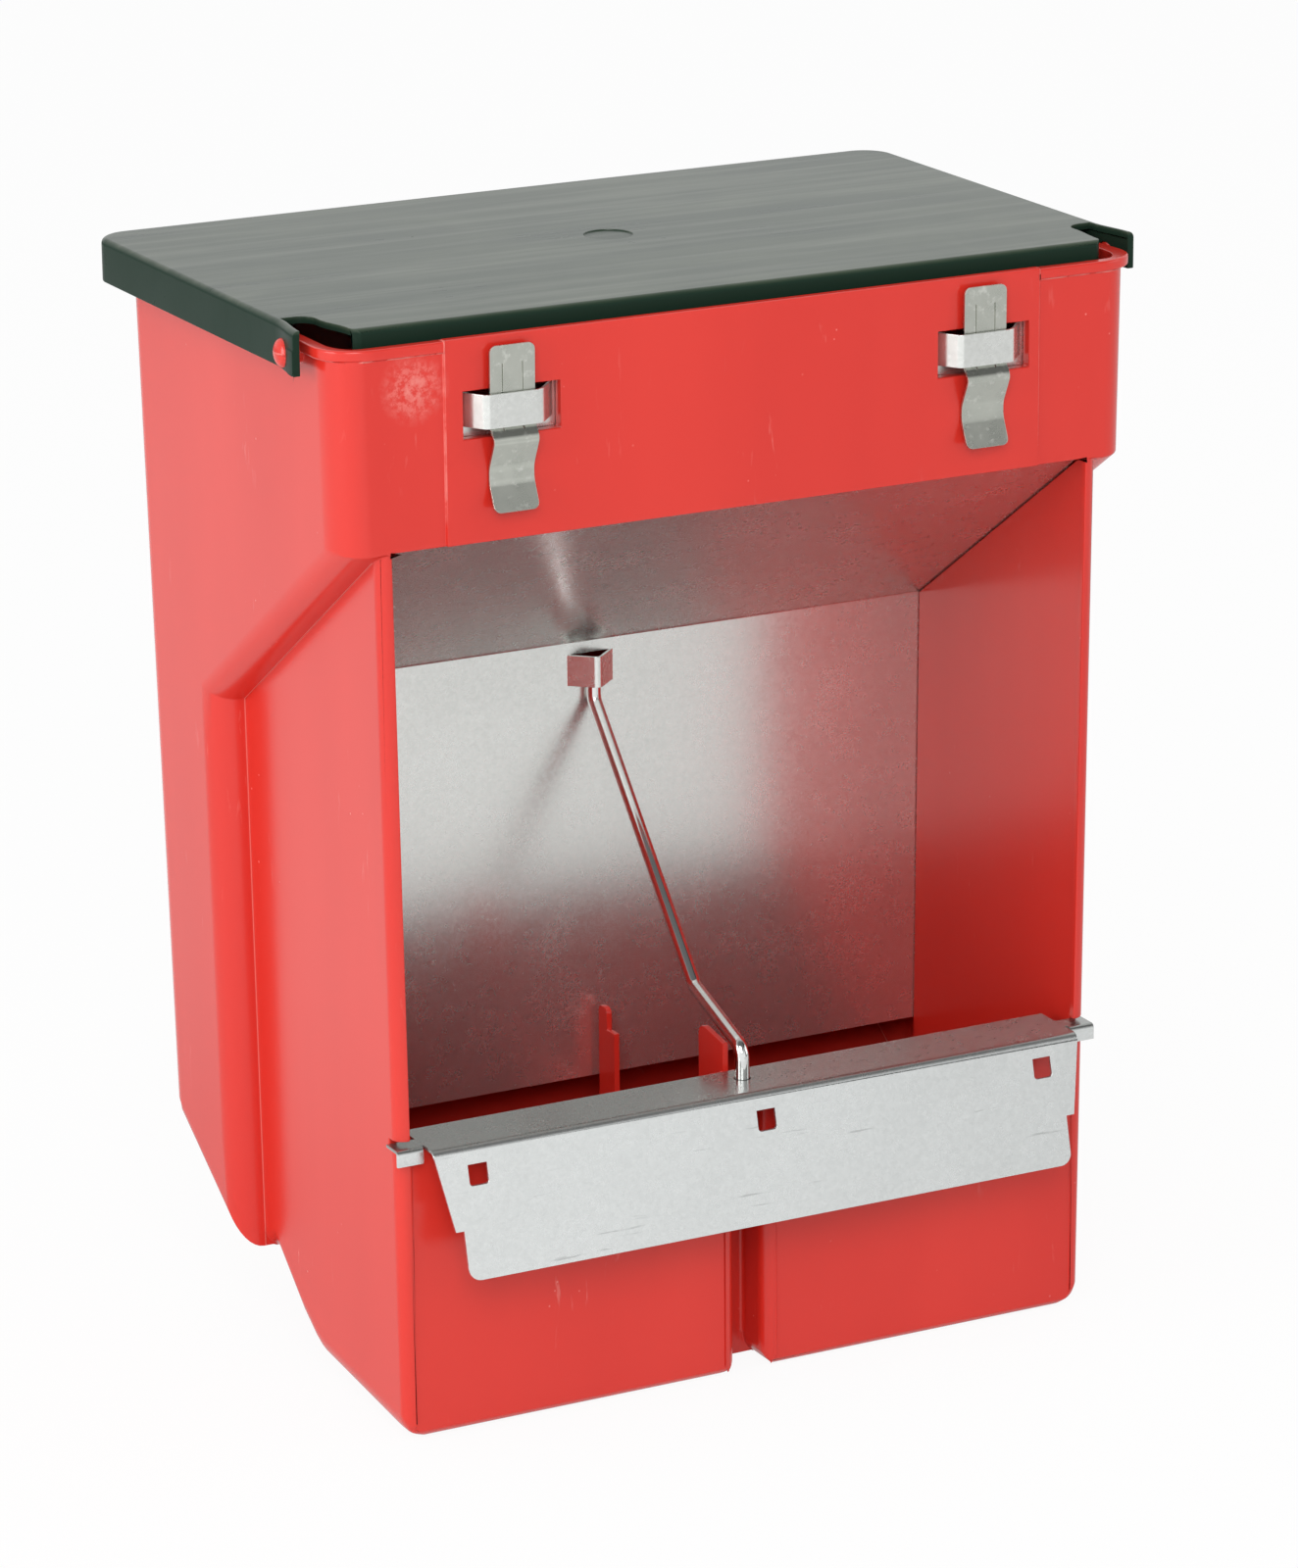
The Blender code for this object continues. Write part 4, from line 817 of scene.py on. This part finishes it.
class Finish(Nodes):
    """A material on the object's own coordinates."""

    def __init__(self, name):
        self.material = bpy.data.materials.new(name)
        self.material.use_nodes = True
        super().__init__(self.material.node_tree)
        self.shader = self.tree.nodes["Principled BSDF"]
        self.place = self.node("ShaderNodeTexCoord", {}, {}, "Object")

    def stretched(self, x, y, z):
        """The object's coordinates, scaled along each axis."""
        return self.node("ShaderNodeMapping", {}, {"Vector": self.place, "Scale": (x, y, z)})

    def noise(self, scale, detail=2.0, roughness=0.5, distortion=0.0, place=None):
        """Cloudy noise, between 0 and 1."""
        return self.node("ShaderNodeTexNoise", {}, {
            "Vector": place or self.place, "Scale": scale, "Detail": detail, "Roughness": roughness,
            "Distortion": distortion})

    def cells(self, scale, output="Distance"):
        """Cells of a size: the distance to their middles, or a random colour for each."""
        return self.node("ShaderNodeTexVoronoi", {}, {"Vector": self.place, "Scale": scale}, output)

    def ramp(self, field, *stops):
        """A field put through stops, each a position and a value."""
        return self.node("ShaderNodeValToRGB", {"stops": stops}, {"Fac": field})

    def spot(self, x, z, radius):
        """Distance from a place on the front, as a share of a radius."""
        middle = self.node("ShaderNodeVectorMath", {"operation": "SUBTRACT"}, {
            0: self.place, 1: (x, MOUTH_PLANE, z)})
        away = self.node("ShaderNodeVectorMath", {"operation": "LENGTH"}, {0: middle}, "Value")
        return away / radius

    def relief(self, height, distance):
        """A bump of a height field, a distance in millimetres."""
        return self.node("ShaderNodeBump", {}, {
            "Height": height, "Distance": distance * MM, "Strength": 1.0})

    def surface(self, **inputs):
        """Feeds the shader's sockets, named with underscores for spaces."""
        for name, value in inputs.items():
            self.feed(self.shader.inputs[name.replace("_", " ")], value)
        return self.material


def shade(red, green, blue):
    """A linear colour from its display values of 0 to 255."""
    return tuple(((value / 255 + 0.055) / 1.055) ** 2.4 for value in (red, green, blue))


def red_plastic():
    """Injection-moulded red polypropylene with flow marks, pale scuffs and moulding flash."""
    finish = Finish("red_polypropylene")
    x, y, z = (finish.part_of(finish.place, axis) for axis in "XYZ")
    aside = x.math("ABSOLUTE")
    clouds = finish.noise(18.0, 3.0)
    flow = finish.noise(9.0, 3.0, 0.5, 0.2, finish.stretched(1.6, 1.6, 0.35))
    flow_marks = finish.ramp(flow, (0.35, 0), (0.65, 1))
    colour = finish.blend(flow_marks, shade(214, 50, 39), shade(205, 43, 33))
    fine = finish.noise(240.0, 4.0, 0.6, 0.4, finish.stretched(1, 1, 0.18))
    scratch = finish.ramp(fine, (0.64, 0), (0.72, 1))
    patch = finish.ramp(finish.noise(26.0, 2.0), (0.52, 0), (0.72, 1))
    speck = finish.ramp(finish.cells(160.0), (0.035, 1), (0.06, 0))
    scuff = scratch * patch * 0.5
    ragged = finish.ramp(finish.noise(130.0, 3.0), (0.44, 0), (0.56, 1))
    under_lip = (z - 0.30825).math("ABSOLUTE")
    off_panel = finish.ramp((aside - 0.0917) * 1000.0, (0.0, 0), (0.3, 1))
    at_front = finish.ramp((y - MOUTH_PLANE) * 10.0, (0.18, 1), (0.30, 0))
    lip_flash = finish.ramp(under_lip * 1000.0, (0.16, 1), (0.30, 0)) * ragged * off_panel * at_front
    above_mouth = finish.ramp(z * 3.0, (0.783, 0), (0.792, 1))
    by_panel = (aside - PANEL_SIDE * MM).math("ABSOLUTE")
    panel_flash = finish.ramp(by_panel * 1000.0, (0.12, 1), (0.28, 0))
    panel_flash = panel_flash * above_mouth * (ragged * 0.6 + 0.4) * at_front
    trough_foot = TROUGH_SIDE - APRON_BOTTOM * TROUGH_DRAFT
    beside_trough = (aside + z * -TROUGH_DRAFT - trough_foot * MM) * 1000.0
    behind_mouth = (y - (MOUTH_PLANE + 0.003)) * 1000.0
    parting = finish.ramp(beside_trough, (0.10, 0), (0.22, 1), (0.36, 1), (0.5, 0))
    parting = parting * finish.ramp(behind_mouth, (0.0, 0), (0.9, 1)) * 0.7
    grains = finish.ramp(finish.noise(420.0, 4.0, 0.7), (0.40, 0), (0.62, 1))
    dusty = finish.ramp(finish.spot(-0.1003, 0.2995, 0.0105), (0.15, 1), (1.0, 0)) * grains
    pale = scuff + speck * patch + lip_flash + panel_flash * 0.8 + parting + dusty
    pale = finish.node("ShaderNodeClamp", {}, {0: pale})
    colour = finish.blend(pale * 0.45, colour, shade(240, 170, 160))
    height = finish.noise(900.0, 2.0) + pale * 4.0
    return finish.surface(Base_Color=colour, Roughness=clouds * 0.10 + 0.16 + pale * 0.20,
                          Normal=finish.relief(height, 0.012), IOR=1.53)


def green_plastic():
    """Injection-moulded dark green polypropylene, hazed and streaked across the lid by use, with a
    painted sheen on the top face.
    """
    finish = Finish("dark_green_polypropylene")
    z = finish.part_of(finish.place, "Z")
    # Painted sheen: the top face alone gets a lighter colour and a glossy coat, while the skirt stays
    # dark and dull.
    painted_sheen_top = finish.ramp((z - 0.314) * 500.0, (0.35, 0), (0.85, 1))
    streaks = finish.noise(26.0, 5.0, 0.6, 0.5, finish.stretched(0.22, 2.2, 1))
    blotches = finish.noise(16.0, 4.0, 0.6, 0.8)
    haze = finish.ramp(streaks * 0.55 + blotches * 0.45, (0.36, 0), (0.64, 1))
    wiped = finish.noise(85.0, 4.0, 0.6, 0.4, finish.stretched(0.10, 2.0, 1))
    strokes = finish.ramp(wiped, (0.45, 0), (0.70, 1))
    top_colour = finish.blend(haze, shade(36, 54, 42), shade(64, 76, 60))
    top_colour = finish.blend(strokes * 0.35, top_colour, shade(92, 99, 84))
    # The top face is lighter than the skirt: partly wear haze and strokes, partly painted sheen.
    colour = finish.blend(painted_sheen_top, shade(29, 48, 38), top_colour)
    bumps = finish.relief(finish.noise(700.0, 2.0), 0.006)
    # The coat is mostly painted sheen on the top face, varied by the wear haze and strokes.
    coat = painted_sheen_top * (haze * 0.24 + strokes * 0.10 + 0.30) + 0.03
    return finish.surface(Base_Color=colour, Roughness=haze * 0.12 + 0.26, Normal=bumps,
                          Specular_IOR_Level=0.05, Coat_Weight=coat, Coat_Roughness=0.28, Coat_IOR=1.5)


def galvanised_sheet(name, dull, bright, marked=0.0, painted_dark_above=None):
    """Hot-dip galvanised sheet: fine grey grain with thin pale veins.

    marked is how clearly rolling marks show, and the last argument the height in millimetres above
    which the sheet is painted darker, if it is: a painted dark reflection, not wear.
    """
    finish = Finish(name)
    speckle = finish.cells(1100.0, output="Color")
    tone = finish.node("ShaderNodeSeparateColor", {}, {0: speckle})
    clouds = finish.noise(40.0, 5.0, 0.62)
    mottle = finish.noise(420.0, 3.0, 0.6)
    colour = finish.blend(tone * 0.2 + mottle * 0.35 + clouds * 0.45, dull, bright)
    veins = finish.ramp(finish.noise(380.0, 2.0, 0.5, 1.2), (0.480, 0), (0.5, 1), (0.520, 0))
    vein = veins * finish.ramp(finish.noise(170.0, 2.0), (0.52, 0), (0.6, 1))
    colour = finish.blend(vein * 0.30, colour, shade(246, 247, 246))
    marks = finish.noise(420.0, 3.0, 0.5, 0.2, finish.stretched(0.10, 1.6, 1.6))
    mark = finish.ramp(marks, (0.66, 0), (0.71, 1)) * finish.ramp(clouds, (0.46, 0), (0.56, 1))
    colour = finish.blend(mark * marked, colour, shade(110, 112, 110))
    if painted_dark_above:
        # Painted shade: above the height the sheet is blended darker. This stands in for the dark
        # reflection on the guard's top flange.
        z = finish.part_of(finish.place, "Z")
        painted_dark_mask = finish.ramp((z - painted_dark_above * MM) * 1000.0, (0.2, 0), (0.9, 1))
        colour = finish.blend(painted_dark_mask * 0.8, colour, shade(132, 134, 131))
    rough = tone * 0.03 + clouds * 0.08 + vein * 0.06 + 0.20
    return finish.surface(Base_Color=colour, Metallic=0.9, Roughness=rough,
                          Normal=finish.relief(mottle, 0.0024))


def spring_steel():
    """Zinc-plated spring steel strip, dull grey with pale rubbed spots."""
    finish = Finish("zinc_plated_spring_steel")
    clouds = finish.noise(150.0, 4.0, 0.6)
    spots = finish.ramp(finish.noise(420.0, 4.0, 0.65), (0.56, 0), (0.70, 1))
    colour = finish.blend(clouds, shade(182, 186, 177), shade(212, 214, 205))
    colour = finish.blend(spots * 0.5, colour, shade(240, 241, 234))
    return finish.surface(Base_Color=colour, Metallic=1.0, Roughness=clouds * 0.12 + 0.22 + spots * 0.1,
                          Normal=finish.relief(finish.noise(900.0, 3.0), 0.005))


def bright_wire():
    """Bright plated wire with faint draw lines."""
    finish = Finish("bright_steel_wire")
    clouds = finish.noise(90.0, 3.0)
    colour = finish.blend(clouds, shade(222, 223, 222), shade(238, 239, 238))
    return finish.surface(Base_Color=colour, Metallic=1.0, Roughness=clouds * 0.04 + 0.07,
                          Normal=finish.relief(finish.noise(1200.0, 1.0), 0.0015))


# The pieces

finishes = {
    "red_polypropylene": red_plastic(),
    "dark_green_polypropylene": green_plastic(),
    "galvanised_sheet": galvanised_sheet("galvanised_sheet", shade(212, 214, 210), shade(248, 250, 247)),
    "zinc_plated_spring_steel": spring_steel(),
    "bright_steel_wire": bright_wire(),
}
for row in frame["record"]["subparts"]:
    node = frame["nodes"][row["node"]]
    node.data.materials.clear()
    node.data.materials.append(finishes[row["material_slot"]])

# The guard gets a painted dark reflection on its top flange, from 86.2 mm up.
guard_finish = galvanised_sheet("galvanised_guard", shade(208, 211, 210), shade(246, 249, 248),
                                marked=0.3, painted_dark_above=86.2)

left_clip = spring_clip()
right_clip = left_clip.copy()
right_clip.data = left_clip.data.copy()
right_clip.name = "spring_clip_right"
bpy.context.scene.collection.objects.link(right_clip)
right_clip.location.x = 2 * CLIP_OFFSET * MM
bpy.ops.object.select_all(action="DESELECT")
right_clip.select_set(True)
bpy.context.view_layer.objects.active = right_clip
bpy.ops.object.transform_apply(location=True, rotation=True, scale=True)

for piece, body, slot, node in (
        (moulded_hopper(), "body", "red_polypropylene", "hopper_body"),
        (moulded_lid(), "lid", "dark_green_polypropylene", "lid"),
        (bent_baffle(), "body", "galvanised_sheet", "baffle"),
        (bent_guard(), "body", "galvanised_sheet", "trough_guard"),
        (divider_rod(), "rod", "bright_steel_wire", "divider_rod"),
        (left_clip, "clip_left", "zinc_plated_spring_steel", "clip_left"),
        (right_clip, "clip_right", "zinc_plated_spring_steel", "clip_right")):
    finish_piece(piece, body, guard_finish if node == "trough_guard" else finishes[slot], slot, node)


# Camera, floor and light


def add_camera():
    """The photograph's viewpoint: left of the front, about 17 degrees above."""
    data = bpy.data.cameras.new("view")
    data.sensor_width = 36.0
    data.lens = 140.9
    data.clip_end = 50.0
    camera = bpy.data.objects.new("view", data)
    bpy.context.scene.collection.objects.link(camera)
    ahead = Vector((0.4382, 0.8501, -0.292)).normalized()
    right = Vector((0.8876, -0.4605, -0.0085))
    right = (right - ahead * right.dot(ahead)).normalized()
    up = right.cross(ahead)
    turn = Matrix((right, up, -ahead)).transposed().to_4x4()
    camera.matrix_world = Matrix.Translation(Vector((-0.76989, -1.50217, 0.67237))) @ turn
    bpy.context.scene.camera = camera


def add_floor():
    """A wide pale floor that shows white. For what mirrors it, the floor ends behind the feeder, dims to
    the right and has painted shade near the feeder.
    """
    bpy.ops.object.select_all(action="DESELECT")
    bpy.ops.mesh.primitive_plane_add(size=40.0, location=(0, 0, cad_low.z - 0.0002))
    floor = take_primitive("floor")
    finish = Finish("floor_white")
    floor.data.materials.append(finish.surface(Base_Color=(0.9, 0.9, 0.9, 1), Roughness=0.9))
    seen = finish.kind_of_ray("Is Camera Ray")
    mirrored = finish.kind_of_ray("Is Glossy Ray")
    x, y = (finish.part_of(finish.place, axis) for axis in "XY")
    far = finish.fade(y, 1.2, 2.0, 1.0, 0.3)
    right = finish.fade(x, -0.1, 0.4, 1.0, 0.70)
    # Painted shade: what mirrors the floor sees it dimmer within about 0.45 m of the feeder. This stands
    # in for the feeder's shadow on it.
    painted_shade_near = finish.fade((x * x + y * y) ** 0.5, 0.12, 0.45, 0.72, 1.0)
    shown = finish.blend(seen + mirrored * (far * right * painted_shade_near), (0, 0, 0), (1, 1, 1))
    glow = finish.node("ShaderNodeEmission", {}, {"Color": shown, "Strength": 1.0})
    plain = Field(finish, finish.shader.outputs[0])
    mixed = finish.node("ShaderNodeMixShader", {}, [seen * 0.93 + mirrored * 0.95, plain, glow])
    finish.tree.links.new(mixed.socket, finish.tree.nodes["Material Output"].inputs[0])


def add_world():
    """A soft white surround. What mirrors it sees it dark in front, high up and to the right."""
    world = bpy.data.worlds.new("studio")
    bpy.context.scene.world = world
    world.use_nodes = True
    nodes = Nodes(world.node_tree)
    direction = nodes.node("ShaderNodeTexCoord", {}, {}, "Generated")
    front = nodes.fade(nodes.part_of(direction, "Y"), 0.15, -0.35)
    high = nodes.fade(nodes.part_of(direction, "Z"), 0.12, 0.80)
    right = nodes.fade(nodes.part_of(direction, "X"), 0.42, 0.64)
    room = (1.0 - front * high * 0.86) * (1.0 - front * right * 0.92)
    seen = nodes.kind_of_ray("Is Camera Ray")
    mirrored = nodes.kind_of_ray("Is Glossy Ray")
    plain = (seen + mirrored) * -1.0 + 1.0
    strength = seen + mirrored * room + plain * 0.66
    background = nodes.tree.nodes["Background"]
    nodes.feed(background.inputs["Color"], nodes.blend(strength, (0, 0, 0), (1, 1, 1)))


def add_lamp(name, place, target, size, power):
    """A square softbox that faces a point."""
    data = bpy.data.lights.new(name, "AREA")
    data.size = size
    data.energy = power
    lamp = bpy.data.objects.new(name, data)
    bpy.context.scene.collection.objects.link(lamp)
    aim = (Vector(target) - Vector(place)).to_track_quat("-Z", "Y")
    lamp.matrix_world = Matrix.Translation(place) @ aim.to_matrix().to_4x4()


add_camera()
add_floor()
add_world()
middle = (0, 0, 0.16)
add_lamp("key_softbox", (-0.9, -1.6, 1.3), middle, 1.0, 18.0)
add_lamp("side_softbox", (-2.0, -0.3, 0.7), middle, 1.0, 15.0)
add_lamp("fill_softbox", (1.7, -0.9, 0.7), middle, 1.0, 5.0)

bpy.context.scene.view_settings.view_transform = "Standard"
